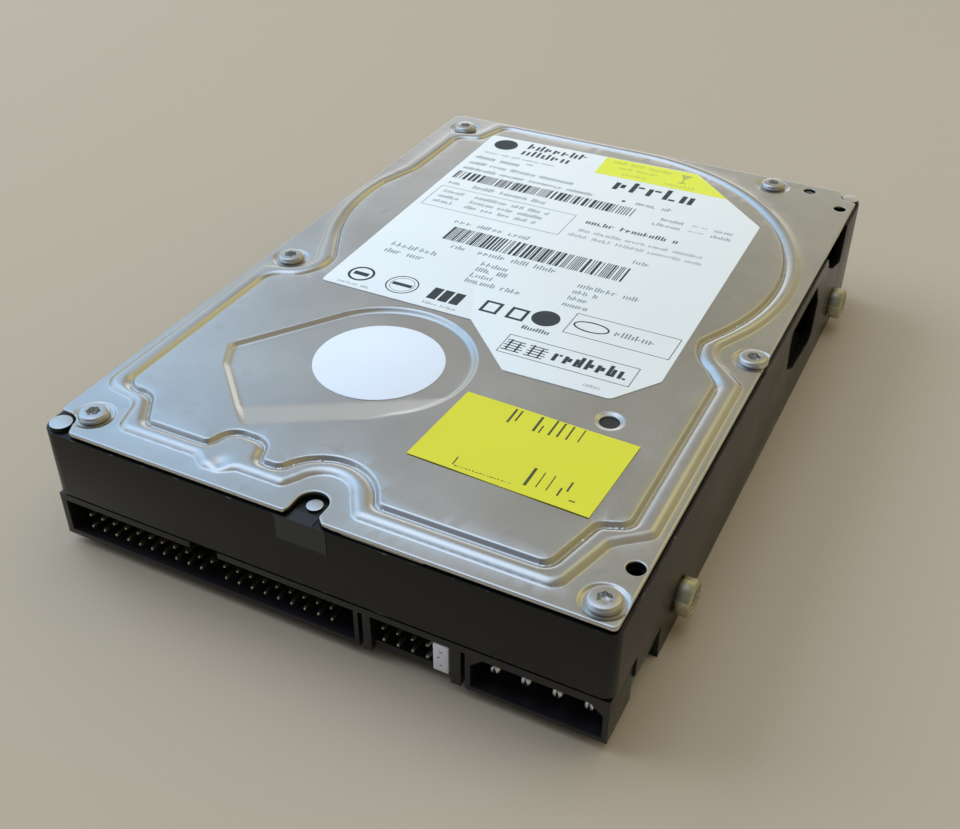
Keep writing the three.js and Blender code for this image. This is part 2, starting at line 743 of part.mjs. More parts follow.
// A round pin with a slit tip and a leg to the board, standing along z with its leg towards +y.
function powerPin() {
  const radius = 1.05;
  const [tip, end] = [2.1, 12.4];
  const profile = [
    [0, tip],
    [0.7, tip],
    [radius, tip + 0.7],
    [radius, end],
    [0, end],
  ];
  const slit = box(-0.14, 0.14, -2, 2, 0, tip + 2.2);
  const leg = box(-0.7, 0.7, 0, POWER_Z - BOARD_TOP - REST_GAP, end - 1.4, end);
  return turned(profile, 14).add(leg).subtract(slit);
}

// The cap that bridges one column of jumper pins.
function jumperShunt() {
  const x = JUMPER_FIRST_X + (JUMPER_PINS - 1) * PIN_PITCH;
  const middle = (ROW_HIGH + ROW_LOW) / 2;
  const cap = box(x - 1.3, x + 1.3, HOUSING.y0, 6.4, middle - 2.8, middle + 2.8);
  const bores = [ROW_LOW, ROW_HIGH].map((z) =>
    box(x - 0.5, x + 0.5, HOUSING.y0 + 0.25, 8, z - 0.5, z + 0.5),
  );
  const window = box(x - 0.35, x + 0.35, 0, 1, middle - 0.3, middle + 0.3);
  return cut(cap, ...bores, window);
}

// ---------------------------------------------------------------- disc pack, about the spindle

const SPINDLE_BEARING = { inner: 2.15, outer: 5, height: 2.2 };
const PLATTER = { z0: 17.6, z1: 18.87, outer: 47.5, bore: 12.5 };
const HUB_SEAT = PLATTER.z0 - REST_GAP;

function spindleHub() {
  const profile = [
    [5.1, 14.8],
    [13.3, 14.8],
    [13.3, 10.9],
    [16, 10.9],
    [16, HUB_SEAT],
    [12.4, HUB_SEAT],
    [12.4, 18.6],
    [7, 18.6],
    [7, 21],
    [5.1, 21],
    [5.1, 14.8],
  ];
  let body = turned(profile, 24);
  for (const [x, y] of clampScrewPlaces()) body = body.subtract(post(x, y, 1.0, 16.2, 20, 8));
  return body;
}

function clampScrewPlaces() {
  return [90, 210, 330].map((angle) => [
    9.8 * Math.cos(angle * DEGREE),
    9.8 * Math.sin(angle * DEGREE),
  ]);
}

function platterClamp() {
  const z0 = PLATTER.z1 + REST_GAP;
  const profile = [
    [7.3, z0],
    [15.5, z0],
    [15.5, z0 + 0.8],
    [13.5, z0 + 1.3],
    [7.3, z0 + 1.3],
    [7.3, z0],
  ];
  let body = turned(profile, 24);
  for (const [x, y] of clampScrewPlaces()) body = body.subtract(post(x, y, 1.1, 16, 22, 8));
  return body;
}

function clampScrew() {
  const seat = PLATTER.z1 + 2 * REST_GAP + 1.3;
  const profile = [
    [0, 16.6],
    [0.85, 16.6],
    [0.85, seat],
    [1.9, seat],
    [1.7, seat + 0.9],
    [0, seat + 0.9],
  ];
  return turned(profile, 8).subtract(driverRecess(0.8, seat + 0.3, seat + 2));
}

function motorStator() {
  let body = ring(5.45, 7.6, 11, 13.8, 18);
  for (let i = 0; i < 9; i++) {
    const arm = boxGeometry(7, 11.4, -1.0, 1.0, 11.6, 13.4);
    const winding = boxGeometry(7.8, 10.4, -1.8, 1.8, 10.7, 14.1);
    for (const part of [arm, winding]) body = body.add(solidOf(part.rotateZ(i * 40 * DEGREE)));
  }
  return body;
}

// ---------------------------------------------------------------- actuator, about its pivot

const SLEEVE = { inner: 6.1, outer: 7.4, z0: 12.8, z1: 22.2 };
const COIL = { inner: 12.6, outer: 26, half: 25, z0: 16.3, z1: 19.3 };
const ARM_LENGTH = 38;
const HEAD_REACH = 52;
const LOWER_ARM_TOP = 16.9;
const UPPER_ARM_UNDER = 19.6;

function actuatorArm() {
  const blade = (z0) => {
    const shape = outline([
      [-3, -6.4],
      [6, -6.2],
      [ARM_LENGTH, -2.6, 1.5],
      [ARM_LENGTH, 2.6, 1.5],
      [6, 6.2],
      [-3, 6.4],
    ]);
    const lightening = outline([
      [13, -3.0, 1],
      [29, -1.2, 0.6],
      [29, 1.2, 0.6],
      [13, 3.0, 1],
    ]);
    return prism(shape, z0, z0 + 1).subtract(prism(lightening, z0 - BEYOND, z0 + 2));
  };
  const sleeve = post(0, 0, SLEEVE.outer, SLEEVE.z0, SLEEVE.z1, 24);
  const fork = sector(5, COIL.outer + 1.8, 180 - 29, 180 + 29, 16.7, 18.9);
  const coilSeat = sector(COIL.inner - 0.2, COIL.outer + 0.2, 180 - 25.6, 180 + 25.6, 16, 20);
  const body = join(sleeve, blade(LOWER_ARM_TOP - 1), blade(UPPER_ARM_UNDER), fork);
  return cut(body, coilSeat, post(0, 0, SLEEVE.inner, 10, 25, 24));
}

function voiceCoil() {
  const { inner, outer, half, z0, z1 } = COIL;
  const window = sector(inner + 3.4, outer - 3.4, 180 - half + 11, 180 + half - 11, z0 - 1, z1 + 1);
  return sector(inner, outer, 180 - half, 180 + half, z0, z1).subtract(window);
}

// A sprung beam with its slider. The lower one carries the slider on top, the upper below.
function headSuspension(side) {
  const shape = [
    [32, -2.2],
    [38.4, -2.2],
    [HEAD_REACH, -0.6],
    [HEAD_REACH, 0.6],
    [38.4, 2.2],
    [32, 2.2],
  ].map(([x, y]) => new THREE.Vector2(x, y));
  const z0 = side === "lower" ? LOWER_ARM_TOP + REST_GAP : UPPER_ARM_UNDER - REST_GAP - 0.2;
  const beam = prism(shape, z0, z0 + 0.2);
  const [s0, s1] = side === "lower" ? [z0 + 0.1, PLATTER.z0 - 0.06] : [PLATTER.z1 + 0.06, z0 + 0.1];
  return beam.add(box(HEAD_REACH - 0.8, HEAD_REACH + 0.6, -0.6, 0.6, s0, s1));
}

// ---------------------------------------------------------------- the coil's magnet, about the pivot

const YOKE = { inner: 10, outer: 28, from: 170, to: 276 };

function lowerYoke() {
  const plate = sector(YOKE.inner, YOKE.outer, YOKE.from, YOKE.to, DECK_TOP + REST_GAP, 12.8);
  const posts = [172, 274].map((angle) => {
    const [x, y] = [25.6 * Math.cos(angle * DEGREE), 25.6 * Math.sin(angle * DEGREE)];
    return post(x, y, 1.5, 12, 20.5, 12);
  });
  return join(plate, ...posts);
}

function upperYoke() {
  return sector(YOKE.inner, YOKE.outer, YOKE.from, YOKE.to, 20.6, 22.8);
}

function coilMagnet() {
  return sector(13, 26, 185, 262, 12.8 + REST_GAP, 15.4);
}

// ---------------------------------------------------------------- other parts in the chamber

function pivotShaft() {
  const profile = [
    [0, DECK_TOP + REST_GAP],
    [4.5, DECK_TOP + REST_GAP],
    [4.5, 12.2],
    [2.5, 12.2],
    [2.5, 23.8],
    [1.4, 23.8],
    [1.4, 19],
    [0, 19],
  ];
  return turned(profile, 16);
}

function pivotScrew() {
  const seat = FLANGE_TOP - SHEET - 0.1 + REST_GAP;
  const profile = [
    [0, 19.6],
    [1.2, 19.6],
    [1.2, seat],
    [2.9, seat],
    [2.9, seat + 0.5],
    [0, seat + 0.5],
  ];
  return turned(profile, 14);
}

// The signal ribbon: a connector on the deck and a loop that rises beside the pivot.
function flexCable() {
  const block = box(4, 17, 17, 27, DECK_TOP + REST_GAP, 13.6);
  const half = 0.15;
  const way = new THREE.CatmullRomCurve3([
    new THREE.Vector3(9, 25, 0),
    new THREE.Vector3(10, 31, 0),
    new THREE.Vector3(5, 36.5, 0),
    new THREE.Vector3(0.5, 32.5, 0),
    new THREE.Vector3(-3.6, 35.2, 0),
  ]);
  const middle = way.getPoints(18);
  const side = (sign) =>
    middle.map((at, i) => {
      const tangent = way.getTangent(i / 18);
      return new THREE.Vector2(at.x - tangent.y * half * sign, at.y + tangent.x * half * sign);
    });
  const loop = [...side(1), ...side(-1).reverse()];
  return block.add(prism(loop, 11.5, 18.5));
}

function recirculationFilter() {
  return box(-1.5, 1.5, -5, 5, 12, 22);
}

// ---------------------------------------------------------------- the assembly

function piece(name, solid, material, parent) {
  const mesh = new THREE.Mesh(geometryOf(solid), material);
  mesh.name = name;
  parent.add(mesh);
  return mesh;
}

const drive = new THREE.Group();

piece("base_casting", baseCasting(), BLACK_PAINT, drive);
piece("top_cover", topCover(), STAINLESS, drive);
piece("cover_gasket", coverGasket(), SEAL_FOAM, drive);
for (const [place, [x, y]] of Object.entries(COVER_SCREWS)) {
  piece(`cover_screw_${place}`, coverScrew(), SCREW_STEEL, drive).position.set(x, y, 0);
}
const labelBottom = PANEL_TOP + LABEL_GAP;
const labelTop = labelBottom + LABEL_THICK;
piece("info_label", prism(INFO_LABEL, labelBottom, labelTop), LABEL_PAPER, drive);
piece("yellow_sticker", prism(YELLOW_STICKER, labelBottom, labelTop - 0.02), STICKER, drive);
const roundBottom = FLANGE_TOP + LABEL_GAP;
const roundLabel = post(0, 0, ROUND_LABEL, roundBottom, roundBottom + LABEL_THICK, 32);
piece("round_label", roundLabel, WHITE_LABEL, drive).position.set(PIVOT.x, PIVOT.y, 0);
piece("front_tape", frontTape(), CLEAR_TAPE, drive);

for (const [side, way] of [["left", -1], ["right", 1]]) {
  for (const [place, y] of [["front", SIDE_SCREW_Y[0]], ["rear", SIDE_SCREW_Y[1]]]) {
    const screw = piece(`rail_screw_${side}_${place}`, railScrew(), ZINC_YELLOW, drive);
    screw.rotation.y = way * 90 * DEGREE;
    screw.position.set(way * HALF_WIDTH, y, SIDE_SCREW_Z);
  }
}

piece("circuit_board", circuitBoard(), BOARD_GREEN, drive);
piece("board_insulator", boardInsulator(), INSULATOR, drive);
piece("controller_chip", chip(20, 20), CHIP_BLACK, drive).position.set(-14, 50, 0);
piece("motor_driver_chip", chip(11, 11), CHIP_BLACK, drive).position.set(20, 60, 0);
piece("memory_chip", chip(10, 18), CHIP_BLACK, drive).position.set(14, 34, 0);
for (const [place, [x, y]] of Object.entries(BOARD_SCREWS)) {
  piece(`board_screw_${place}`, boardScrew(), SCREW_STEEL, drive).position.set(x, y, 0);
}

piece("connector_housing", connectorHousing(), CONNECTOR_BLACK, drive);
const rows = [
  ["data_pins_upper", DATA_FIRST_X, DATA_PINS, ROW_HIGH, -1, 13.6],
  ["data_pins_lower", DATA_FIRST_X, DATA_PINS, ROW_LOW, KEY_PIN, 11.8],
  ["jumper_pins_upper", JUMPER_FIRST_X, JUMPER_PINS, ROW_HIGH, -1, 13.6],
  ["jumper_pins_lower", JUMPER_FIRST_X, JUMPER_PINS, ROW_LOW, -1, 11.8],
];
for (const [name, x, count, z, missing, end] of rows) {
  piece(name, pinRow(x, count, z, missing, end), PIN_GOLD, drive);
}
for (let i = 0; i < 4; i++) {
  const pin = piece(`power_pin_${i + 1}`, powerPin(), PIN_TIN, drive);
  pin.rotation.x = -90 * DEGREE;
  pin.position.set(powerPinX(i), 0, POWER_Z);
}
piece("jumper_shunt", jumperShunt(), SHUNT_WHITE, drive);

const discPack = new THREE.Group();
discPack.position.set(SPINDLE.x, SPINDLE.y, 0);
drive.add(discPack);
const spindleShaft = post(0, 0, SHAFT_RADIUS, 1.6, 22);
piece("spindle_shaft", spindleShaft, MACHINED, discPack);
piece("motor_stator", motorStator(), COPPER, discPack);
const { inner: raceInner, outer: raceOuter, height: raceHeight } = SPINDLE_BEARING;
for (const [place, z] of [["lower", 15], ["upper", 18.6]]) {
  const race = ring(raceInner, raceOuter, z, z + raceHeight);
  piece(`spindle_bearing_${place}`, race, MACHINED, discPack);
}
piece("spindle_hub", spindleHub(), MACHINED, discPack);
piece("rotor_magnet", ring(12, 13.0, 11, 14.6, 24), MAGNET, discPack);
piece("platter", ring(PLATTER.bore, PLATTER.outer, PLATTER.z0, PLATTER.z1, 48), DISC, discPack);
piece("platter_clamp", platterClamp(), MACHINED, discPack);
clampScrewPlaces().forEach(([x, y], i) => {
  piece(`clamp_screw_${i + 1}`, clampScrew(), SCREW_STEEL, discPack).position.set(x, y, 0);
});

const pivotStand = new THREE.Group();
pivotStand.position.set(PIVOT.x, PIVOT.y, 0);
drive.add(pivotStand);
piece("pivot_shaft", pivotShaft(), MACHINED, pivotStand);
piece("pivot_screw", pivotScrew(), SCREW_STEEL, pivotStand);
piece("magnet_yoke_lower", lowerYoke(), MAGNET, pivotStand);
piece("magnet_yoke_upper", upperYoke(), MAGNET, pivotStand);
piece("coil_magnet", coilMagnet(), MAGNET, pivotStand);

const actuator = new THREE.Group();
actuator.rotation.z = REST_ANGLE * DEGREE;
pivotStand.add(actuator);
piece("pivot_bearing", ring(2.75, 5.9, 12.6, 22.4), MACHINED, actuator);
piece("actuator_arm", actuatorArm(), MACHINED, actuator);
piece("voice_coil", voiceCoil(), COPPER, actuator);
piece("head_suspension_lower", headSuspension("lower"), SCREW_STEEL, actuator);
piece("head_suspension_upper", headSuspension("upper"), SCREW_STEEL, actuator);

piece("flex_cable", flexCable(), POLYIMIDE, drive);
const recirculation = piece("recirculation_filter", recirculationFilter(), FILTER, drive);
recirculation.rotation.z = -45 * DEGREE;
recirculation.position.set(-38.4, 131.8, 0);
const breather = post(0, 0, 6, 22.4, PANEL_TOP - SHEET - REST_GAP);
piece("breather_filter", breather, FILTER, drive).position.set(BREATHER.x, BREATHER.y, 0);

drive.position.y = -LENGTH / 2;

export default drive;
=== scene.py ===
"""A 3.5 inch hard disk drive: the looks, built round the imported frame."""

import json
import math
import random

import bmesh
import bpy
import numpy as np
from mathutils import Matrix, Vector
from mathutils.geometry import delaunay_2d_cdt


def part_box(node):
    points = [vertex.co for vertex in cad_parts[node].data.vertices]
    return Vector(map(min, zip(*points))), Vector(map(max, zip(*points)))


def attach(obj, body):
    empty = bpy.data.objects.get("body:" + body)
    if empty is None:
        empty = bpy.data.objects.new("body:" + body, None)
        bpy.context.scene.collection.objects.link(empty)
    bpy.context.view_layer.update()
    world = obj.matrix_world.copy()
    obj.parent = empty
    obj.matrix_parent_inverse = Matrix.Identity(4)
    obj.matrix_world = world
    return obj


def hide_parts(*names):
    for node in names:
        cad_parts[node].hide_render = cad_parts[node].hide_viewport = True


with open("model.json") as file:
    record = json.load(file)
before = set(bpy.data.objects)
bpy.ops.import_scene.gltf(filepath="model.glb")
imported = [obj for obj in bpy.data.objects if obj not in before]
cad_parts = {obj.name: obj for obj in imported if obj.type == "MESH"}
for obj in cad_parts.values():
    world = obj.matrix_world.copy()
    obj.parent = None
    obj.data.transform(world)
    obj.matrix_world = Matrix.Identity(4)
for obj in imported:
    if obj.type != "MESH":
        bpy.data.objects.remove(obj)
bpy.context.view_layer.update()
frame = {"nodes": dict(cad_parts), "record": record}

# Shapes are drawn in millimetres: x from the middle, y from the connector end, z from the
# underside. The frame's own origin is half way along the drive.
MM = 0.001
LENGTH = 146.9
HALF_WIDTH = 50.8
TO_FRAME = Vector((0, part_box("base_casting")[1].y / MM - LENGTH, 0))

CASTING_TOP = 24.05
FLANGE_TOP = 25.2
SHEET = 0.6
PANEL_TOP = 25.95
BEAD_TOP = 25.88
DECK_TOP = 10.2
DECK_UNDER = 7.2
BOARD_UNDER = 3.0
BOARD_TOP = 4.6
SPINDLE = (-0.6, 97.2)
PIVOT = (-10.5, 41.1)
COVER_SCREWS = {
    "front_left": (-44.1, 6.1),
    "front_right": (46.8, 4.5),
    "middle_left": (-45.5, 65.5),
    "middle_right": (48.0, 71.5),
    "rear_left": (-44.5, 139.8),
    "rear_right": (31.8, 142.7),
}
BREATHER_HOLE = (32.4, 42.3, 1.7)
OPEN_HOLES = [(48.3, 12.6, 1.45), (39.8, 143.7, 1.3), (47.8, 138.0, 1.3)]


# ---- materials


class Nodes:
    """A node tree, with short ways to add and join nodes."""

    def __init__(self, tree):
        self.tree = tree

    def node(self, kind, inputs=(), **settings):
        """A new node, its inputs fed by name or number and its settings set."""
        made = self.tree.nodes.new(kind)
        for key, value in settings.items():
            setattr(made, key, value)
        for key, value in dict(inputs).items():
            self.feed(made.inputs[key], value)
        return made

    def feed(self, socket, value):
        if isinstance(value, bpy.types.NodeSocket):
            self.tree.links.new(value, socket)
        elif value is not None:
            socket.default_value = value

    def maths(self, operation, a, b=None, clamp=False):
        return self.node("ShaderNodeMath", {0: a, 1: b}, operation=operation, use_clamp=clamp).outputs[0]

    def span(self, value, low, high, to_low=0.0, to_high=1.0):
        """The value mapped from one range to another, and held inside it."""
        ends = {"From Min": low, "From Max": high, "To Min": to_low, "To Max": to_high}
        return self.node("ShaderNodeMapRange", {"Value": value, **ends}).outputs["Result"]

    def mix(self, factor, a, b):
        """Two colours mixed; a colour mix node keeps them in its sixth and seventh sockets."""
        return self.node("ShaderNodeMix", {"Factor": factor, 6: a, 7: b}, data_type="RGBA").outputs[2]

    def dot(self, a, b):
        return self.node("ShaderNodeVectorMath", {0: a, 1: b}, operation="DOT_PRODUCT").outputs["Value"]


MATERIALS = {}


class Graph(Nodes):
    """The node tree of a new material, which goes into MATERIALS."""

    def __init__(self, name):
        made = bpy.data.materials.new(name)
        made.use_nodes = True
        MATERIALS[name] = made
        super().__init__(made.node_tree)
        self.shader = self.tree.nodes["Principled BSDF"]
        self.where = self.node("ShaderNodeTexCoord").outputs["Object"]

    def noise(self, scale, detail=3.0, stretch=(1, 1, 1), rough=0.55):
        where = self.node("ShaderNodeMapping", {"Vector": self.where, "Scale": stretch}).outputs["Vector"]
        inputs = {"Vector": where, "Scale": scale, "Detail": detail, "Roughness": rough}
        return self.node("ShaderNodeTexNoise", inputs).outputs["Fac"]

    def bump(self, height, strength, distance):
        inputs = {"Height": height, "Strength": strength, "Distance": distance}
        self.set(Normal=self.node("ShaderNodeBump", inputs).outputs["Normal"])

    def edges(self, radius, sharp=0.97):
        """1 near the outer and inner edges of the mesh, 0 on its flats."""
        rounded = self.node("ShaderNodeBevel", {"Radius": radius}, samples=4).outputs["Normal"]
        true = self.node("ShaderNodeNewGeometry").outputs["Normal"]
        return self.span(self.dot(rounded, true), sharp, 1.0, 1.0, 0.0)

    def set(self, **inputs):
        for key, value in inputs.items():
            self.feed(self.shader.inputs[key.replace("_", " ")], value)


def rgb(r, g, b):
    return (r, g, b, 1.0)


def shaded(colour, factor):
    return rgb(*(min(c * factor, 1.0) for c in colour))


def plain(name, colour, rough, metal=0.0, vary=0.12, patch=60, grain=1500, dent=0.08, **more):
    """A finish whose colour drifts in soft patches and whose roughness and relief follow a grain."""
    g = Graph(name)
    patches = g.noise(patch, 4)
    fine = g.noise(grain, 3)
    tone = g.mix(patches, shaded(colour, 1 - vary), shaded(colour, 1 + vary))
    g.set(Base_Color=tone, Metallic=metal)
    g.set(Roughness=g.span(fine, 0.3, 0.7, rough * 0.88, min(rough * 1.12, 1)))
    g.bump(fine, dent, 0.00004)
    g.set(**more)


def cover_steel():
    g = Graph("cover_steel")
    lines = g.noise(2600, 2, (1, 0.035, 1))
    smudge = g.noise(38, 5)
    blotch = g.noise(150, 4)
    tone = g.mix(g.span(smudge, 0.3, 0.7), rgb(0.56, 0.56, 0.55), rgb(0.66, 0.66, 0.65))
    stained = g.mix(g.span(blotch, 0.62, 0.8, 0, 0.35), tone, rgb(0.36, 0.35, 0.33))
    rough = g.maths("ADD", g.span(smudge, 0.3, 0.7, 0.20, 0.28), g.span(lines, 0, 1, -0.03, 0.03))
    g.set(Base_Color=stained, Metallic=1.0, Roughness=rough, Anisotropic=0.35)
    relief = g.maths("ADD", g.maths("MULTIPLY", lines, 0.5), g.noise(3500, 2))
    g.bump(relief, 0.10, 0.00002)


def black_paint():
    g = Graph("black_paint")
    orange = g.noise(1100, 3)
    cloud = g.noise(45, 4)
    chips = g.noise(420, 6, rough=0.7)
    worn = g.maths("MULTIPLY", g.edges(0.00022), g.span(chips, 0.56, 0.66), clamp=True)
    paint = g.mix(cloud, rgb(0.003, 0.003, 0.0034), rgb(0.006, 0.006, 0.0064))
    g.set(Base_Color=g.mix(worn, paint, rgb(0.32, 0.33, 0.33)))
    g.set(Metallic=g.maths("MULTIPLY", worn, 0.8))
    g.set(Roughness=g.span(cloud, 0.3, 0.7, 0.24, 0.34))
    g.bump(orange, 0.10, 0.00004)
    g.set(Specular_IOR_Level=0.30)


def board_green():
    g = Graph("board_green")
    inputs = {"Vector": g.where, "Scale": 260.0, "Mortar Size": 0.06, "Mortar": rgb(0.035, 0.20, 0.085)}
    inputs.update({"Color1": rgb(0.014, 0.10, 0.045), "Color2": rgb(0.016, 0.115, 0.05)})
    tracks = g.node("ShaderNodeTexBrick", inputs, offset=0.35)
    g.set(Base_Color=tracks.outputs["Color"], Roughness=0.35, Coat_Weight=0.3)
    g.bump(tracks.outputs["Fac"], 0.25, 0.00003)


def disc_mirror():
    g = Graph("disc_mirror")
    swirl = g.noise(20, 2)
    g.set(Base_Color=g.mix(swirl, rgb(0.60, 0.58, 0.56), rgb(0.68, 0.66, 0.63)))
    g.set(Metallic=1.0, Roughness=g.span(swirl, 0, 1, 0.03, 0.07))


def copper_wire():
    g = Graph("copper_wire")
    inputs = {"Vector": g.where, "Scale": 900.0}
    wave = g.node("ShaderNodeTexWave", inputs, wave_type="BANDS", bands_direction="Z").outputs["Fac"]
    g.set(Base_Color=g.mix(wave, rgb(0.36, 0.15, 0.06), rgb(0.72, 0.36, 0.17)))
    g.set(Metallic=1.0, Roughness=0.35)
    g.bump(wave, 0.5, 0.00005)


def print_ink(name, colour):
    plain(name, colour, 0.55, vary=0.2, patch=400, grain=2500, dent=0.02)


def label_film():
    g = Graph("label_film")
    cloud = g.noise(55, 4)
    stain = g.noise(26, 5)
    tone = g.mix(cloud, rgb(0.69, 0.735, 0.76), rgb(0.73, 0.775, 0.80))
    g.set(Base_Color=g.mix(g.span(stain, 0.62, 0.78, 0, 0.25), tone, rgb(0.50, 0.57, 0.62)))
    g.set(Roughness=g.span(cloud, 0.3, 0.7, 0.38, 0.5), Coat_Weight=0.12, Coat_Roughness=0.3)
    g.bump(g.noise(900, 2), 0.05, 0.00004)


cover_steel()
black_paint()
board_green()
disc_mirror()
copper_wire()
label_film()
plain("seal_rubber", (0.02, 0.02, 0.021), 0.85, dent=0.6, grain=2200)
plain("screw_steel", (0.62, 0.62, 0.61), 0.24, 1.0, grain=2200, dent=0.12)
plain("zinc_plate", (0.50, 0.49, 0.37), 0.27, 1.0, 0.18, 120)
plain("white_label", (0.68, 0.75, 0.87), 0.5, vary=0.02, patch=30, dent=0.03)
plain("yellow_paper", (0.62, 0.61, 0.028), 0.62, vary=0.05, grain=1800)
plain("seal_tape", (0.010, 0.013, 0.017), 0.24, vary=0.3, patch=90)
plain("insulator", (0.03, 0.03, 0.03), 0.9, dent=0.5)
plain("chip_black", (0.016, 0.016, 0.018), 0.55, grain=2600, dent=0.25)
plain("connector_black", (0.007, 0.007, 0.009), 0.34, grain=1700, dent=0.2)
plain("pin_gold", (0.52, 0.47, 0.32), 0.30, 1.0, patch=500)
plain("pin_tin", (0.72, 0.72, 0.73), 0.22, 1.0, patch=300)
plain("shunt_white", (0.78, 0.78, 0.86), 0.45, vary=0.04, dent=0.1)
plain("bearing_steel", (0.58, 0.58, 0.59), 0.18, 1.0)
plain("machined_aluminium", (0.70, 0.71, 0.72), 0.3, 1.0, 0.06, 200)
plain("plated_magnet", (0.62, 0.62, 0.60), 0.16, 1.0)
plain("plated_yoke", (0.52, 0.53, 0.54), 0.3, 1.0)
plain("spring_steel", (0.63, 0.63, 0.62), 0.2, 1.0)
plain("amber_film", (0.42, 0.17, 0.03), 0.3, dent=0.03)
plain("filter_felt", (0.72, 0.71, 0.68), 0.95, grain=2600, dent=0.9)
# Breather filter felt made near black: painted shade, standing for the dark seen down the cover's breather
# hole.
plain("felt_dark_painted_shade", (0.035, 0.034, 0.032), 0.95, grain=2600, dent=0.9)
plain("bare_metal", (0.66, 0.67, 0.68), 0.34, 1.0, 0.16, 350, 1500, 0.25)
print_ink("black_ink", (0.018, 0.028, 0.036))
print_ink("grey_ink", (0.16, 0.21, 0.24))
print_ink("faint_ink", (0.42, 0.46, 0.10))
print_ink("stamp_ink", (0.05, 0.06, 0.02))
plain("yellow_ink", (0.70, 0.74, 0.05), 0.5, vary=0.05)
plain("solder", (0.62, 0.62, 0.63), 0.3, 1.0, grain=1500, dent=0.3)
plain("part_tan", (0.30, 0.20, 0.11), 0.5)


# ---- outlines, in millimetres


def arc(x, y, radius, start, end, sag=0.006):
    step = 2 * math.acos(1 - min(sag / radius, 0.1))
    turn = math.radians(end - start)
    count = max(2, math.ceil(abs(turn) / step))
    angles = [math.radians(start) + turn * i / count for i in range(count + 1)]
    return [(x + radius * math.cos(a), y + radius * math.sin(a)) for a in angles]


def fillet(before, at, after, radius):
    """The arc that rounds the corner between three points."""
    at = Vector(at)
    if not radius:
        return [tuple(at)]
    back = (Vector(before) - at).normalized()
    ahead = (Vector(after) - at).normalized()
    half = back.angle(ahead) / 2
    centre = at + (back + ahead).normalized() * (radius / math.sin(half))
    first = at + back * (radius / math.tan(half)) - centre
    turn = 180 - math.degrees(2 * half)
    sign = 1 if back.x * ahead.y - back.y * ahead.x < 0 else -1
    start = math.degrees(math.atan2(first.y, first.x))
    return arc(centre.x, centre.y, radius, start, start + sign * turn)


def outline(parts):
    """A closed outline from corners (x, y, radius) and arcs (x, y, radius, from, to)."""
    ends = []
    for part in parts:
        if len(part) == 5:
            points = arc(*part)
            ends.append((points[0], points[-1], points))
        else:
            ends.append((part[:2], part[:2], part[2] if len(part) > 2 else 0))
    found = []
    for i, (first, _, what) in enumerate(ends):
        if isinstance(what, list):
            found += what
        else:
            found += fillet(ends[i - 1][1], first, ends[(i + 1) % len(ends)][0], what)
    return np.array(found)


PANEL_RIM = outline([
    (-34.6, 142.4, 2), (-37.2, 134.0, 3), (-42.45, 132.4, 2.5), (-42.45, 112.5, 8),
    (*SPINDLE, 45.2, 172, 209), (-45.4, 66.2, 8.9, 22, -55), (-44.66, 57.0, 3.5),
    (-44.66, 15.35, 2.5), (-38.7, 15.15, 4.0), (-34.5, 8.5, 1.5), (-22.75, 8.5, 1),
    (-21.25, 13.15, 3.6), (-13.7, 13.15, 3.6), (-12.2, 8.5, 1), (-9.6, 8.5, 0.6),
    (-0.1, 4.8, 9.6, 154, 32), (9.5, 7.5, 1.2), (37.0, 7.5, 1.8), (39.8, 18.5, 2.5),
    (44.3, 20.4, 1.8), (44.3, 60.6, 3), (47.9, 72.2, 10.2, 232, 178),
    (*SPINDLE, 45.2, -29, 90),
])
BEAD_FOOT = outline([
    (-38.9, 146.1, 1.9), (-40.6, 137.2, 2.5), (-46.9, 135.6, 2), (-46.9, 114.0, 6),
    (*SPINDLE, 48.9, 171, 207), (-45.4, 66.2, 4.7, 35, -65), (-48.9, 60.2, 2.0),
    (-48.9, 13.4, 3.6), (-40.6, 12.2, 3), (-38.4, 4.75, 2.6), (-22.6, 4.75, 1.5),
    (-20.3, 3.0, 1.9), (-17.0, 3.0, 1.9), (-14.7, 4.7, 1.5), (-6.2, 4.7, 1.6),
    (0, 5.7, 4.8, 160, 24), (7.2, 3.45, 2), (40.3, 3.45, 3), (43.6, 15.2, 3),
    (48.85, 19.6, 2.5), (48.85, 62.6, 2.5), (48.2, 72.0, 6.4, 235, 172),
    (*SPINDLE, 48.9, -21, 90),
])
COVER_EDGE = outline([
    (-50.3, 5.1, 0.5), (-46.6, 4.8, 1.8), (-44.6, 0.45, 0.6), (-3.0, 0.45, 0.4),
    (-2.6, 1.4, 0.6), (0, 3.85, 2.6, 180, 0), (2.6, 1.6, 0.8), (3.8, 0.45, 0.6),
    (50.3, 0.45, 1), (50.3, 142.3, 0.5), (46.9, 143.0, 1.8), (46.0, 146.8, 0.6),
    (-50.3, 146.8, 2.5),
])
# The pocket's walls. Its open side, towards the front, lies well past the crease.
POCKET_WALL = outline([
    (*PIVOT, 17.4, -52, 141), (-36.9, 33.3, 2.4), (-34.0, 27.6, 3.2), (-14.5, 8.0, 2),
])
POCKET_CREASE = ((-17.2, 16.0), (5.2, 29.6))
INFO_LABEL = outline([
    (-35.65, 137.6, 1), (-34.5, 59.7, 1), (-2.0, 59.8, 1), (10.4, 47.5, 1),
    (30.2, 47.9, 1.5), (36.2, 56.6, 1), (35.2, 119.8, 1), (15.3, 138.9, 1),
])


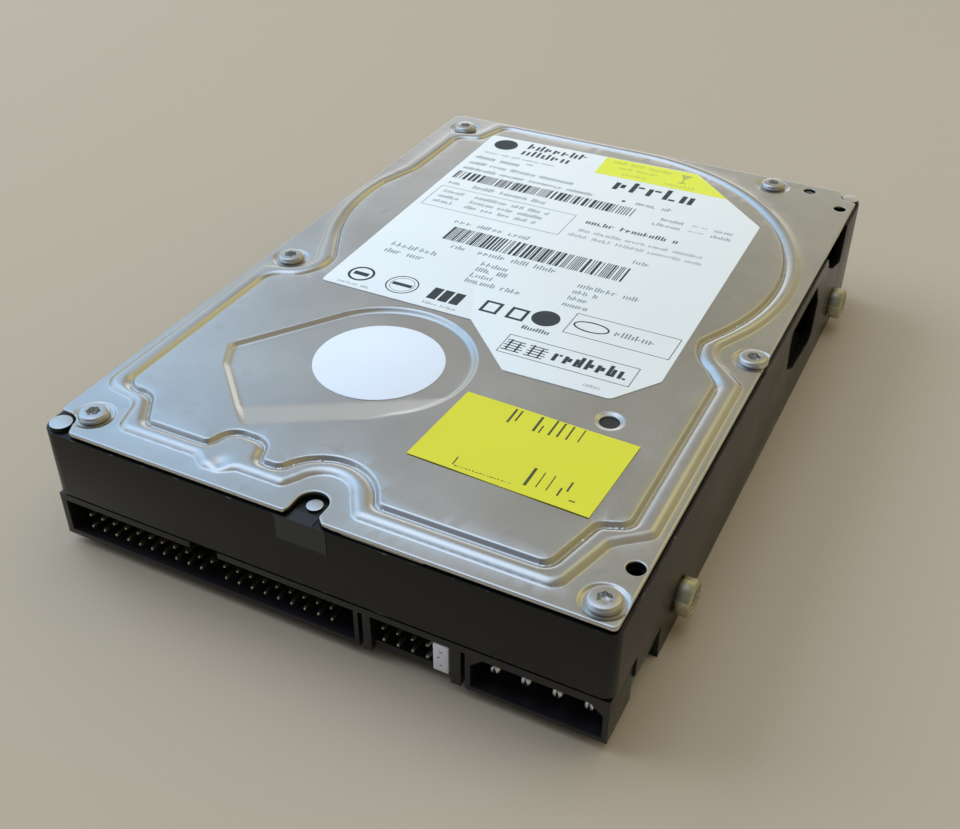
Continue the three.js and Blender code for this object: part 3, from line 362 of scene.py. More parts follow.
def depth_inside(points, loop):
    """How far each point lies inside a closed loop, in millimetres; negative outside it."""
    nearest = np.full(len(points), np.inf)
    inside = np.zeros(len(points), bool)
    for a, b in zip(loop, np.roll(loop, -1, 0)):
        along = b - a
        length = along @ along
        if length < 1e-12:
            continue
        away = points - a
        t = np.clip(away @ along / length, 0, 1)
        off = away - t[:, None] * along
        nearest = np.minimum(nearest, (off * off).sum(1))
        crosses = (a[1] > points[:, 1]) != (b[1] > points[:, 1])
        if crosses.any() and along[1]:
            x = a[0] + (points[:, 1] - a[1]) * along[0] / along[1]
            inside ^= crosses & (points[:, 0] < x)
    return np.sqrt(nearest) * np.where(inside, 1, -1)


def apart(points, x, y):
    return np.hypot(points[:, 0] - x, points[:, 1] - y)


def winding(loop):
    """1 for a closed loop that runs anticlockwise, -1 for a clockwise one."""
    ahead = np.roll(loop, -1, 0)
    return 1 if (loop[:, 0] * ahead[:, 1] - ahead[:, 0] * loop[:, 1]).sum() > 0 else -1


def moved_out(loop, distance):
    """The loop with each of its points moved out of it by a distance."""
    along = np.roll(loop, -1, 0) - np.roll(loop, 1, 0)
    normals = np.column_stack([along[:, 1], -along[:, 0]]) * winding(loop)
    return loop + normals / np.maximum(np.hypot(*normals.T), 1e-9)[:, None] * distance


def spaced(loop, step):
    """Points every step along a closed loop."""
    lengths = np.hypot(*(np.roll(loop, -1, 0) - loop).T)
    at = np.concatenate([[0], np.cumsum(lengths)])
    count = max(8, round(at[-1] / step))
    want = np.arange(count) * at[-1] / count
    closed = np.vstack([loop, loop[:1]])
    return np.column_stack([np.interp(want, at, closed[:, k]) for k in (0, 1)])


def ring(loop, outwards, step):
    """The loop moved outwards, without the points that a tight corner folds over."""
    moved = moved_out(spaced(loop, step), outwards)
    return moved[np.abs(np.abs(depth_inside(moved, loop)) - abs(outwards)) < 0.03]


def circle(x, y, radius, count=None):
    count = count or max(12, round(2 * math.pi * radius / 0.4))
    angles = np.arange(count) * 2 * math.pi / count
    return np.column_stack([x + radius * np.cos(angles), y + radius * np.sin(angles)])


# ---- meshes


def ease(t):
    t = np.clip(t, 0, 1)
    return t * t * (3 - 2 * t)


def shade(mesh, sharp):
    """Shades a mesh smooth, except at edges sharper than so many degrees."""
    mesh.polygons.foreach_set("use_smooth", [True] * len(mesh.polygons))
    mesh.set_sharp_from_angle(angle=math.radians(sharp))


def mesh_piece(name, points, faces, slot, sharp=35):
    """A mesh from points in drawing millimetres."""
    mesh = bpy.data.meshes.new(name)
    mesh.from_pydata([(Vector(p) + TO_FRAME) * MM for p in points], [], faces)
    shade(mesh, sharp)
    piece = bpy.data.objects.new(name, mesh)
    bpy.context.scene.collection.objects.link(piece)
    mesh.materials.append(MATERIALS[slot])
    return piece


REPLACED = set()


def ride(piece, body="chassis"):
    """Makes a finished piece ride on its body."""
    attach(piece, body)
    return piece


def settle(piece, node, body="chassis"):
    """Makes a finished piece ride on its body in place of the CAD node that it stands for."""
    ride(piece, body)
    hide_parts(node)
    REPLACED.add(node)
    return piece


class Solid:
    """Collects closed bodies, in drawing millimetres, for one mesh."""

    def __init__(self):
        self.points, self.faces = [], []

    def add(self, points, faces):
        base = len(self.points)
        self.points += [tuple(p) for p in points]
        self.faces += [tuple(base + i for i in face) for face in faces]
        return self

    def box(self, x0, x1, y0, y1, z0, z1, soft=0.0):
        """A box; with soft, its eight corners are cut back so that every edge is bevelled."""
        if not soft:
            corners = [(x, y, z) for x in (x0, x1) for y in (y0, y1) for z in (z0, z1)]
            sides = [(0, 1, 3, 2), (4, 6, 7, 5), (0, 4, 5, 1), (2, 3, 7, 6), (0, 2, 6, 4), (1, 5, 7, 3)]
            return self.add(corners, sides)
        bm = bmesh.new()
        bmesh.ops.create_cube(bm, size=1)
        size = Vector((x1 - x0, y1 - y0, z1 - z0))
        middle = Vector((x0 + x1, y0 + y1, z0 + z1)) / 2
        for v in bm.verts:
            v.co = Vector(c * s for c, s in zip(v.co, size)) + middle
        bmesh.ops.bevel(bm, geom=bm.edges[:], offset=soft, segments=2, profile=0.5, affect="EDGES")
        bm.verts.index_update()
        self.add([v.co for v in bm.verts], [[v.index for v in f.verts] for f in bm.faces])
        bm.free()
        return self

    def prism(self, loop, z0, z1, soft=0.0):
        """An upright prism on a closed loop, its top edge rounded by soft."""
        loop = np.asarray(loop)
        if winding(loop) < 0:
            loop = loop[::-1]
        levels = [(0, z0), (0, z1)]
        if soft:
            levels = [(0, z0), (0, z1 - soft), (0.3 * soft, z1 - 0.3 * soft), (soft, z1)]
        rings = [[(x, y, z) for x, y in moved_out(loop, -shrink)] for shrink, z in levels]
        count = len(loop)
        faces = [tuple(range(count - 1, -1, -1))]
        for k in range(len(levels) - 1):
            for i in range(count):
                j = (i + 1) % count
                a, b = k * count, (k + 1) * count
                faces.append((a + i, a + j, b + j, b + i))
        faces.append(tuple(range((len(levels) - 1) * count, len(levels) * count)))
        return self.add([p for r in rings for p in r], faces)

    def turned(self, profile, sides=48, at=(0, 0, 0), turn=None):
        """A solid of revolution about z from (radius, z) steps; a radius may be a function of angle."""
        turn = turn or Matrix.Identity(3)
        angles = [2 * math.pi * i / sides for i in range(sides)]
        points, rows = [], []
        for radius, z in profile:
            if radius == 0:
                rows.append([len(points)] * sides)
                points.append(Vector((0, 0, z)))
                continue
            rows.append(list(range(len(points), len(points) + sides)))
            for a in angles:
                r = radius(a) if callable(radius) else radius
                points.append(Vector((r * math.cos(a), r * math.sin(a), z)))
        faces = []
        for low, high in zip(rows, rows[1:]):
            for i in range(sides):
                j = (i + 1) % sides
                corners = [low[i], low[j], high[j], high[i]]
                kept = [c for k, c in enumerate(corners) if c != corners[k - 1]]
                if len(kept) > 2:
                    faces.append(tuple(kept))
        return self.add([turn @ p + Vector(at) for p in points], faces)

    def settled(self, name, slot, node, sharp=35):
        return settle(self.piece(name, slot, sharp), node)

    def piece(self, name, slot, sharp=35):
        made = mesh_piece(name, self.points, self.faces, slot, sharp)
        bm = bmesh.new()
        bm.from_mesh(made.data)
        bmesh.ops.recalc_face_normals(bm, faces=bm.faces)
        bm.to_mesh(made.data)
        bm.free()
        return made


def carve(target, *tools, operation="DIFFERENCE"):
    """Cuts the tools from the target, or joins them to it, and removes them."""
    for cutter in tools:
        step = target.modifiers.new("carve", "BOOLEAN")
        step.object = cutter
        step.operation = operation
        step.solver = "MANIFOLD"
        depsgraph = bpy.context.evaluated_depsgraph_get()
        made = bpy.data.meshes.new_from_object(target.evaluated_get(depsgraph))
        target.modifiers.clear()
        old, target.data = target.data, made
        finish = old.materials[0]
        made.materials.clear()
        made.materials.append(finish)
        made.polygons.foreach_set("material_index", [0] * len(made.polygons))
        bpy.data.meshes.remove(old)
        bpy.data.objects.remove(cutter)
    return target


def tidy_mesh(target, soft=0.0):
    """Joins flat triangles, rounds the remaining edges a little and shades by angle."""
    bm = bmesh.new()
    bm.from_mesh(target.data)
    bmesh.ops.remove_doubles(bm, verts=bm.verts, dist=0.004 * MM)
    bmesh.ops.dissolve_limit(
        bm, angle_limit=math.radians(1), verts=bm.verts, edges=bm.edges, delimit={"MATERIAL"}
    )
    if soft:
        keen = [e for e in bm.edges if e.is_manifold and e.calc_face_angle(0) > math.radians(50)]
        bmesh.ops.bevel(
            bm, geom=keen, offset=soft * MM, segments=2, profile=0.6, affect="EDGES", clamp_overlap=True
        )
    bmesh.ops.triangulate(bm, faces=[f for f in bm.faces if len(f.verts) > 4])
    bm.to_mesh(target.data)
    bm.free()
    shade(target.data, 35)


def tool(shape):
    """A shape made ready to cut from a piece or join to it."""
    return shape.piece("tool", "bare_metal")


def block(*sides, soft=0.0):
    return tool(Solid().box(*sides, soft=soft))


# ---- the pressed cover

RIM_PROFILE = (
    (-0.35, -0.2, -0.08, 0.05, 0.18, 0.34, 0.46, 0.52, 0.9),
    (0.0, 0.03, 0.10, 0.24, 0.46, 0.80, 0.97, 1.0, 1.0),
)
BEAD_START = 0.7
BEAD_HALF = 1.65
BEAD_FILLET = 0.09
BEAD_PINCH = (-17.6, 4.4)
BEAD_PINCH_SIZE = (1.3, 1.7)
PIVOT_HOLE = 4.0
POCKET_DEPTH = PANEL_TOP - FLANGE_TOP - 0.02
POCKET_RAMP = 6.2
POCKET_PROFILE = (
    (-0.12, 0.08, 0.3, 0.6, 0.9, 1.15, 1.4, 1.8),
    (0.0, 0.07, 0.25, 0.56, 0.83, 0.95, 0.985, 1.0),
)


def crease_depth(points):
    """How far each point lies behind the pocket's front crease."""
    a, b = (np.array(p) for p in POCKET_CREASE)
    along = (b - a) / np.hypot(*(b - a))
    return (points - a) @ np.array([-along[1], along[0]])


def rolled(height, inside, radius):
    """Rounds a sheet's edge: inside is the distance in from it."""
    left = np.clip(radius - inside, 0, radius)
    return height - (radius - np.sqrt(radius**2 - left**2))


def bead_side(t):
    """A circular arc's height from its softened foot, at 0, to its crest, at 1."""
    t = (t + np.sqrt(t**2 + BEAD_FILLET**2)) / 2
    height = (BEAD_TOP - FLANGE_TOP) / BEAD_HALF
    radius = (1 + height**2) / (2 * height)
    return (np.sqrt(radius**2 - (1 - np.clip(t, 0, 1)) ** 2) - radius + height) / height


def dimple(points, place, radius, slope, depth):
    """The depth at each point of a round dish with a flat floor."""
    return depth * ease((radius - apart(points, *place)) / slope)


def cover_height(points):
    """The height of the cover's upper face at each point of its plan."""
    out = -depth_inside(points, PANEL_RIM)
    foot = depth_inside(points, BEAD_FOOT)
    wall = PANEL_TOP - (PANEL_TOP - FLANGE_TOP) * np.interp(out, *RIM_PROFILE)
    rise = bead_side((out - BEAD_START) / BEAD_HALF)
    fall = bead_side(foot / BEAD_HALF)
    both = rise + fall - np.sqrt((rise - fall) ** 2 + 0.012)
    bead = np.clip(both / 2, 0, None) * (BEAD_TOP - FLANGE_TOP) / 0.95
    pinch = np.exp(-(((points - BEAD_PINCH) / BEAD_PINCH_SIZE) ** 2).sum(1))
    bead *= 1 - 0.5 * pinch
    height = np.where(out < BEAD_START, wall, FLANGE_TOP + bead)
    wall = np.interp(depth_inside(points, POCKET_WALL), *POCKET_PROFILE)
    ramp = 1 - (1 - np.clip(crease_depth(points) / POCKET_RAMP, 0, 1)) ** 1.05
    height -= POCKET_DEPTH * wall * ramp * (out < 0)
    for place in COVER_SCREWS.values():
        height -= dimple(points, place, 3.7, 0.5, 0.25)
    height -= dimple(points, BREATHER_HOLE[:2], 2.7, 0.8, 0.22)
    height -= dimple(points, PIVOT, PIVOT_HOLE + 0.5, 0.5, 0.7)
    height = rolled(height, depth_inside(points, COVER_EDGE), 0.2)
    for x, y, radius in [*OPEN_HOLES, BREATHER_HOLE]:
        height = rolled(height, apart(points, x, y) - radius, 0.18)
    return height


def thinned(kept, groups, gap):
    """The kept points, then the groups' points less any that falls within gap of an earlier one."""
    taken = {}
    for x, y in kept:
        taken.setdefault((int(x // gap), int(y // gap)), []).append((x, y))
    kept = list(kept)
    for x, y in (p for group in groups for p in group):
        cell = (int(x // gap), int(y // gap))
        near = (taken.get((cell[0] + i, cell[1] + j), ()) for i in (-1, 0, 1) for j in (-1, 0, 1))
        if any((x - u) ** 2 + (y - v) ** 2 < gap * gap for found in near for u, v in found):
            continue
        taken.setdefault(cell, []).append((x, y))
        kept.append((x, y))
    return kept


def cover_sheet():
    edge = spaced(COVER_EDGE, 0.3)
    shank_holes = [(x, y, 1.6) for x, y in COVER_SCREWS.values()]
    round_holes = [*OPEN_HOLES, BREATHER_HOLE, *shank_holes, (*PIVOT, 1.6)]
    loops = [moved_out(edge, -inset) for inset in (0, 0.03, 0.09, 0.2)]
    for x, y, r in round_holes:
        loops += [circle(x, y, r + t, 48) for t in (0, 0.03, 0.09, 0.19)]
    border = [tuple(p) for loop in loops for p in loop]
    lines, base = [], 0
    for loop in loops:
        lines += [(base + i, base + (i + 1) % len(loop)) for i in range(len(loop))]
        base += len(loop)
    rim_steps = (*RIM_PROFILE[0][:-1], 0.61, BEAD_START, 0.8, 0.95, 1.15, 1.4, 1.7)
    groups = [ring(COVER_EDGE, -0.5, 0.5)]
    groups += [ring(BEAD_FOOT, -t, 0.4) for t in (0, -0.12, 0.12, -0.3)]
    groups += [circle(x, y, r + 0.4, 40) for x, y, r in round_holes]
    groups += [ring(PANEL_RIM, t, 0.4) for t in rim_steps]
    groups += [ring(BEAD_FOOT, -t, 0.45) for t in (0.27, 0.45, 0.65, 0.9, 1.15, 1.4, BEAD_HALF)]
    groups += [ring(POCKET_WALL, -t, 0.5) for t in (*np.arange(-0.3, 1.6, 0.15), 1.8, 2.1)]
    for x, y in COVER_SCREWS.values():
        groups += [circle(x, y, r) for r in (4.0, 3.7, 3.6, 3.5, 3.4, 3.3, 3.2, 3.0, 2.4)]
    groups += [circle(*BREATHER_HOLE[:2], r) for r in (2.9, 2.75, 2.6, 2.4, 2.2, 2.0)]
    groups += [circle(*PIVOT, PIVOT_HOLE + t) for t in (-0.3, 0, 0.15, 0.3, 0.5, 0.8)]
    xs, ys = np.meshgrid(np.arange(-50, 50.2, 0.4), np.arange(1, 146.6, 0.4))
    fine = np.column_stack([xs.ravel(), ys.ravel()])
    out = -depth_inside(fine, PANEL_RIM)
    foot = depth_inside(fine, BEAD_FOOT)
    groups.append(fine[(out > -0.5) & (foot > -0.3)])
    near_crease = np.abs(crease_depth(fine) - 3.2) < 4.2
    groups.append(fine[near_crease & (depth_inside(fine, POCKET_WALL) > -0.3) & (out < 0)][::3])
    groups.append(fine[::61])
    points = thinned(border, groups, 0.11)
    points2d, _, triangles, *_ = delaunay_2d_cdt([Vector(p) for p in points], lines, [], 0, 1e-5)
    flat = np.array([tuple(p) for p in points2d])
    triangles = np.array([t for t in triangles if len(t) == 3])
    middles = flat[triangles].mean(1)
    keep = depth_inside(middles, COVER_EDGE) > 0
    for x, y, r in round_holes:
        keep &= apart(middles, x, y) > r * 0.99
    triangles = triangles[keep]
    used = np.unique(triangles)
    renumber = np.full(len(flat), -1)
    renumber[used] = np.arange(len(used))
    triangles = renumber[triangles]
    flat = flat[used]
    a, b, c = (flat[triangles[:, k]] for k in range(3))
    twist = (b - a)[:, 0] * (c - a)[:, 1] - (b - a)[:, 1] * (c - a)[:, 0]
    triangles[twist < 0] = triangles[twist < 0][:, ::-1]
    return flat, triangles


def top_cover():
    flat, triangles = cover_sheet()
    height = cover_height(flat)
    on_edge = np.zeros(len(flat), bool)
    directed = np.vstack([triangles[:, [0, 1]], triangles[:, [1, 2]], triangles[:, [2, 0]]])
    pairs = {(int(u), int(v)) for u, v in directed}
    rim = [(u, v) for u, v in pairs if (v, u) not in pairs]
    on_edge[[u for pair in rim for u in pair]] = True
    under = height - SHEET
    under[on_edge & (height < FLANGE_TOP)] = FLANGE_TOP - SHEET
    count = len(flat)
    points = np.vstack([np.column_stack([flat, height]), np.column_stack([flat, under])])
    faces = [tuple(int(i) for i in t) for t in triangles]
    faces += [tuple(int(i) + count for i in t[::-1]) for t in triangles]
    faces += [(v, u, u + count, v + count) for u, v in rim]
    piece = mesh_piece("pressed_cover", points.tolist(), faces, "cover_steel", sharp=42)
    settle(piece, "top_cover")


# ---- the casting

RAIL_INNER = 44.4
HOLLOW_WALL = 49.6
SKIN = 49.5
MOTOR_BOSS = 20
SIDE_SCREW_Z = 6.35
SIDE_SCREW_Y = (29.5, 131.1)
BOTTOM_HOLE_X = 47.6
BOTTOM_HOLE_Y = (42.3, 86.7)
BOARD_SCREWS = [(-39.5, 18), (39.5, 18), (-39.5, 86), (39.5, 86)]
CORNER_PADS = [(-48.0, 2.5, 1.9, 24.9), (48.7, 144.8, 1.75, 24.9), (0.2, 4.2, 1.3, 24.5)]
CHAMBER_INSET = 0.6
# Two openings in the right wall: corners (y, z, radius).
SIDE_WINDOW = [
    (89, 21.5, 1.5), (90.5, 12.5, 2), (97, 9.2, 3), (112, 7.4, 1.5), (113, 16, 2), (109, 21.5, 1.5),
]
SIDE_SLOT = [(115, 26), (118.5, 21, 1), (124, 18.2, 1), (132.4, 15.6, 1), (133.4, 26)]
CUT = 40


def turned_by(degrees, axis):
    return Matrix.Rotation(math.radians(degrees), 3, axis)


ALONG_Y = turned_by(-90, "X")


def rod(x, y, radius, z0, z1, sides=64):
    return tool(Solid().prism(circle(x, y, radius, sides), z0, z1))


def cross_slab(shape, x0, x1):
    """A slab whose outline is drawn in (y, z)."""
    slab = Solid().prism(outline(shape), x0, x1)
    slab.points = [(z, x, y) for x, y, z in slab.points]
    return tool(slab)


def rear_hollow():
    """The hollow behind the disc at the right, round the screw posts that stand in it."""
    return carve(
        block(22, SKIN, SPINDLE[1], 143.9, -1, CUT),
        rod(*SPINDLE, HOLLOW_WALL, -2, CUT + 1, 200),
        block(RAIL_INNER, SKIN + 1, 125.6, 136.6, -2, 11),
        rod(*COVER_SCREWS["rear_right"], 3.2, -2, CUT + 1),
        rod(48.2, 144.4, 3.4, -2, CUT + 1),
    )


def casting():
    plan = outline([
        (-HALF_WIDTH, 0.1, 3), (HALF_WIDTH, 0.1, 2), (HALF_WIDTH, LENGTH, 3), (-HALF_WIDTH, LENGTH, 3),
    ])
    body = Solid().prism(plan, 0, CASTING_TOP).piece("casting", "black_paint")
    chamber = Solid().prism(moved_out(spaced(BEAD_FOOT, 0.5), -CHAMBER_INSET), DECK_TOP, CUT)
    chamber = carve(tool(chamber), block(-60, 60, -1, 12.6, 0, 13.6))
    underside = block(-RAIL_INNER, RAIL_INNER, -1, 143, -1, DECK_UNDER)
    underside = carve(underside, rod(*SPINDLE, MOTOR_BOSS, -2, DECK_UNDER + 1, 96))
    carve(
        body, chamber, underside, rear_hollow(),
        block(-60, 60, -1, 9.75, -1, 11.3),
        block(-60, 60, 9, 21, -1, 6.9),
        block(-46, 48.4, 9, 14.6, 0, 8.6),
        cross_slab(SIDE_WINDOW, SKIN - 0.3, SKIN + 4),
        cross_slab(SIDE_SLOT, SKIN - 0.3, SKIN + 4),
        rod(*SPINDLE, MOTOR_BOSS - 1, -1, 1.5, 96),
    )

    added = [rod(*SPINDLE, 5.3, DECK_TOP - 0.5, 14.2)]
    for angle in (40, 65, 115, 140):
        rib = Solid().box(MOTOR_BOSS - 1, 40, -0.8, 0.8, 3.4, DECK_UNDER + 0.5)
        turn = turned_by(angle, "Z")
        rib.points = [tuple(turn @ Vector(p) + Vector((*SPINDLE, 0))) for p in rib.points]
        added.append(tool(rib))
    added += [rod(x, y, 3.1, BOARD_TOP + 0.05, DECK_UNDER + 0.5) for x, y in BOARD_SCREWS]
    added += [rod(x, y, r, 20, top) for x, y, r, top in CORNER_PADS]
    carve(body, *added, operation="UNION")
    for x, y in COVER_SCREWS.values():
        column = rod(x, y, 3.0, 20, FLANGE_TOP - SHEET - 0.05)
        carve(column, block(-HALF_WIDTH, HALF_WIDTH, 0.1, LENGTH, 0, 30), operation="INTERSECT")
        carve(body, column, operation="UNION")

    bores = [rod(*SPINDLE, 2.1, 0, 15)]
    bores += [rod(x, y, 1.25, 0, 9.2, 32) for x, y in BOARD_SCREWS]
    bores += [rod(x, y, 1.45, 16, 30, 32) for x, y in COVER_SCREWS.values()]
    bores.append(rod(*OPEN_HOLES[0][:2], 1.2, 18, 30, 32))
    for side in (-1, 1):
        for y in SIDE_SCREW_Y:
            bore = [(0, -8), (1.75, -8), (1.75, -0.35), (2.1, 0), (2.1, 1), (0, 1)]
            place = (side * HALF_WIDTH, y, SIDE_SCREW_Z)
            bores.append(tool(Solid().turned(bore, 48, place, turned_by(90 * side, "Y"))))
        for y in BOTTOM_HOLE_Y:
            threads = [(0, -1), (2.0, -1), (2.0, 0), (1.6, 0.4)]
            threads += [(1.6 + 0.12 * (k % 2), 0.6 + 0.4 * k) for k in range(12)] + [(0, 5.5)]
            bores.append(tool(Solid().turned(threads, 48, (side * BOTTOM_HOLE_X, y, 0))))
    carve(body, *bores)
    tidy_mesh(body, soft=0.28)
    body.name = "painted_casting"
    body.data.materials.clear()
    body.data.materials.append(MATERIALS["black_paint"])
    body.data.materials.append(MATERIALS["bare_metal"])
    for face in body.data.polygons:
        middle = face.center / MM - TO_FRAME
        bare = face.normal.z > 0.9 and any(
            math.hypot(middle.x - x, middle.y - y) < r and middle.z > top - 0.6
            for x, y, r, top in CORNER_PADS
        )
        face.material_index = int(bare)
    settle(body, "base_casting")


# ---- screws

SCREW_TOP = 26.1


def star(radius, depth=0.16):
    """The radius of a six-lobed driver recess at each angle."""
    return lambda angle: radius * (1 - depth * (0.5 + 0.5 * math.cos(6 * angle)))


def cover_screw(name, place, angle):
    seat = FLANGE_TOP - 0.2
    recess, floor = star(1.2), star(1.05)
    profile = [
        (0, 17), (0.9, 17), (1.3, 18), (1.3, seat), (2.5, seat), (2.6, seat + 0.08),
        (2.6, SCREW_TOP - 0.36), (2.52, SCREW_TOP - 0.26), (2.26, SCREW_TOP - 0.03), (2.16, SCREW_TOP),
        (lambda a: recess(a) + 0.07, SCREW_TOP), (recess, SCREW_TOP - 0.06),
        (floor, SCREW_TOP - 0.75), (0, SCREW_TOP - 0.9),
    ]
    screw = Solid().turned(profile, 96, (*place, 0), turned_by(angle, "Z"))
    screw.settled(name + "_finished", "screw_steel", name, 30)


def rail_screw(name, side, y, angle):
    recess, floor = star(1.75), star(1.55)
    thread = [(1.6 - 0.18 * (k % 2), -4.2 + 0.32 * k) for k in range(13)]
    profile = [
        (0, -5), (1.2, -5), *thread, (1.6, 0.05), (2.6, 0.05), (2.6, 0.32), (3.22, 0.32),
        (3.3, 0.4), (3.3, 2.3), (3.2, 2.5), (2.95, 2.7), (2.8, 2.75), (2.35, 2.75), (2.28, 2.6),
        (lambda a: recess(a) + 0.1, 2.57), (recess, 2.47), (floor, 1.3), (0, 1.1),
    ]
    turn = turned_by(90 * side, "Y") @ turned_by(angle, "Z")
    screw = Solid().turned(profile, 96, (side * HALF_WIDTH, y, SIDE_SCREW_Z), turn)
    screw.settled(name + "_finished", "zinc_plate", name, 30)


def board_screw(name, place, angle):
    seat = BOARD_UNDER - 0.05
    recess = star(1.1)
    profile = [
        (0, seat - 0.5), (lambda a: recess(a) * 0.9, seat - 0.5), (recess, seat - 1.05),
        (lambda a: recess(a) + 0.06, seat - 1.1), (1.75, seat - 1.1), (2.1, seat - 0.95),
        (2.3, seat - 0.5), (2.3, seat), (1.1, seat), (1.1, 8.6), (0, 8.6),
    ]
    screw = Solid().turned(profile, 96, (*place, 0), turned_by(angle, "Z"))
    screw.settled(name + "_finished", "screw_steel", name, 30)


# ---- connectors

HOUSING = {"x0": -50.1, "x1": 50.4, "y0": 0.3, "y1": 9.6, "z0": 1.9, "z1": 10.7}
SOCKET_BACK = 7.2
SOCKET_TOP = 9.45
PIN_PITCH = 2.54
PIN_HALF = 0.32
ROW_HIGH, ROW_LOW = 7.54, 5.0
DATA_FIRST_X, DATA_PINS, KEY_PIN = -44.4, 20, 10
JUMPER_FIRST_X, JUMPER_PINS = 13.25, 5
POWER_FIRST_X, POWER_PITCH, POWER_Z = 31.45, 5.08, 5.9


def connector_housing():
    h = HOUSING
    front = h["y0"] - 1
    body = Solid().box(*h.values()).piece("housing", "connector_black")
    power = [(28.4, 2.8), (49.5, 2.8), (49.5, 7.4), (47.5, 9.2), (30.4, 9.2), (28.4, 7.4)]
    power_socket = Solid().prism(power, front, SOCKET_BACK)
    power_socket.points = [(x, z, y) for x, y, z in power_socket.points]
    cuts = [
        block(-48.9, 8.2, front, SOCKET_BACK, 3.0, SOCKET_TOP),
        block(-22.7, -17.2, front, SOCKET_BACK, 9, h["z1"] + 1),
        block(9.0, 9.8, front, 5, h["z0"] - 1, SOCKET_TOP),
        block(11.2, 25.1, front, SOCKET_BACK, 3.4, SOCKET_TOP),
        block(11.2, 25.1, front, h["y0"] + 1.2, h["z0"] - 1, SOCKET_TOP),
        block(26.8, 27.5, front, 5, h["z0"] - 1, SOCKET_TOP),
        tool(power_socket),
    ]
    for first, count in ((DATA_FIRST_X, DATA_PINS), (JUMPER_FIRST_X, JUMPER_PINS)):
        last = first + (count - 1) * PIN_PITCH
        for z in (ROW_HIGH, ROW_LOW):
            back = SOCKET_BACK + 0.6
            cuts.append(block(first - 0.4, last + 0.4, back, h["y1"] + 1, z - 0.4, z + 0.4))
            for i in range(count):
                x = first + i * PIN_PITCH
                low, high = SOCKET_BACK - 1, SOCKET_BACK + 1
                cuts.append(block(x - 0.36, x + 0.36, low, high, z - 0.36, z + 0.36))
    for i in range(4):
        bore = [(0, SOCKET_BACK - 1), (1.15, SOCKET_BACK - 1), (1.15, h["y1"] + 1), (0, h["y1"] + 1)]
        place = (POWER_FIRST_X + i * POWER_PITCH, 0, POWER_Z)
        cuts.append(tool(Solid().turned(bore, 32, place, ALONG_Y)))
    carve(body, *cuts)
    tidy_mesh(body, soft=0.16)
    body.name = "moulded_housing"
    settle(body, "connector_housing")


def square_pin(solid, x, z, y0, y1):
    """A square pin whose front end tapers to a small flat."""
    steps = [(y0, 0.14), (y0 + 0.18, 0.22), (y0 + 0.75, PIN_HALF), (y1, PIN_HALF)]
    corners = [(-1, -1), (1, -1), (1, 1), (-1, 1)]
    points = [(x + u * half, y, z + v * half) for y, half in steps for u, v in corners]
    faces = [(3, 2, 1, 0), (12, 13, 14, 15)]
    for k in range(3):
        for i in range(4):
            j = (i + 1) % 4
            faces.append((4 * k + i, 4 * k + j, 4 * k + 4 + j, 4 * k + 4 + i))
    return solid.add(points, faces)


def pin_row(name, first, count, z, missing, tail_end):
    solid = Solid()
    foot = BOARD_TOP + 0.05
    for i in range(count):
        if i == missing:
            continue
        x = first + i * PIN_PITCH
        square_pin(solid, x, z, 0.65, tail_end)
        solid.box(x - PIN_HALF, x + PIN_HALF, tail_end - 2 * PIN_HALF, tail_end, foot, z - PIN_HALF + 0.01)
    solid.settled(name + "_finished", "pin_gold", name)


def power_pin(name, index):
    x = POWER_FIRST_X + index * POWER_PITCH
    tip, end, radius = 2.1, 12.4, 1.05
    profile = [
        (0, tip), (0.55, tip), (0.74, tip + 0.12), (0.93, tip + 0.45), (1.02, tip + 0.9),
        (radius, tip + 1.5), (radius, end), (0, end),
    ]
    body = Solid().turned(profile, 48, (x, 0, POWER_Z), ALONG_Y).piece(name + "_finished", "pin_tin")
    carve(body, block(x - 0.15, x + 0.15, 0, tip + 2.4, POWER_Z - 2, POWER_Z + 2))
    leg = block(x - 0.7, x + 0.7, end - 1.4, end, BOARD_TOP + 0.05, POWER_Z)
    carve(body, leg, operation="UNION")
    settle(body, name)


def shunt():
    x = JUMPER_FIRST_X + (JUMPER_PINS - 1) * PIN_PITCH
    middle = (ROW_HIGH + ROW_LOW) / 2
    body = Solid().box(x - 1.3, x + 1.3, HOUSING["y0"], 6.4, middle - 2.8, middle + 2.8, soft=0.12)
    body = body.piece("moulded_shunt", "shunt_white")
    front = HOUSING["y0"]
    cuts = [block(x - 0.45, x + 0.45, front + 1, 8, z - 0.45, z + 0.45) for z in (ROW_LOW, ROW_HIGH)]
    for dx, dz, half in ((0.1, 1.35, 0.30), (-0.35, 0.1, 0.22), (0.15, -1.5, 0.30)):
        z = middle + dz
        cuts.append(block(x + dx - half, x + dx + half, -1, front + 0.9, z - 0.17, z + 0.17))
    carve(body, *cuts)
    tidy_mesh(body, soft=0.0)
    settle(body, "jumper_shunt", "shunt")


# ---- labels

LABEL_BOTTOM = 25.97
LABEL_TOP = 26.07
STICKER_TOP = 26.05
ROUND_LABEL_TOP = 25.32
INK = 0.018


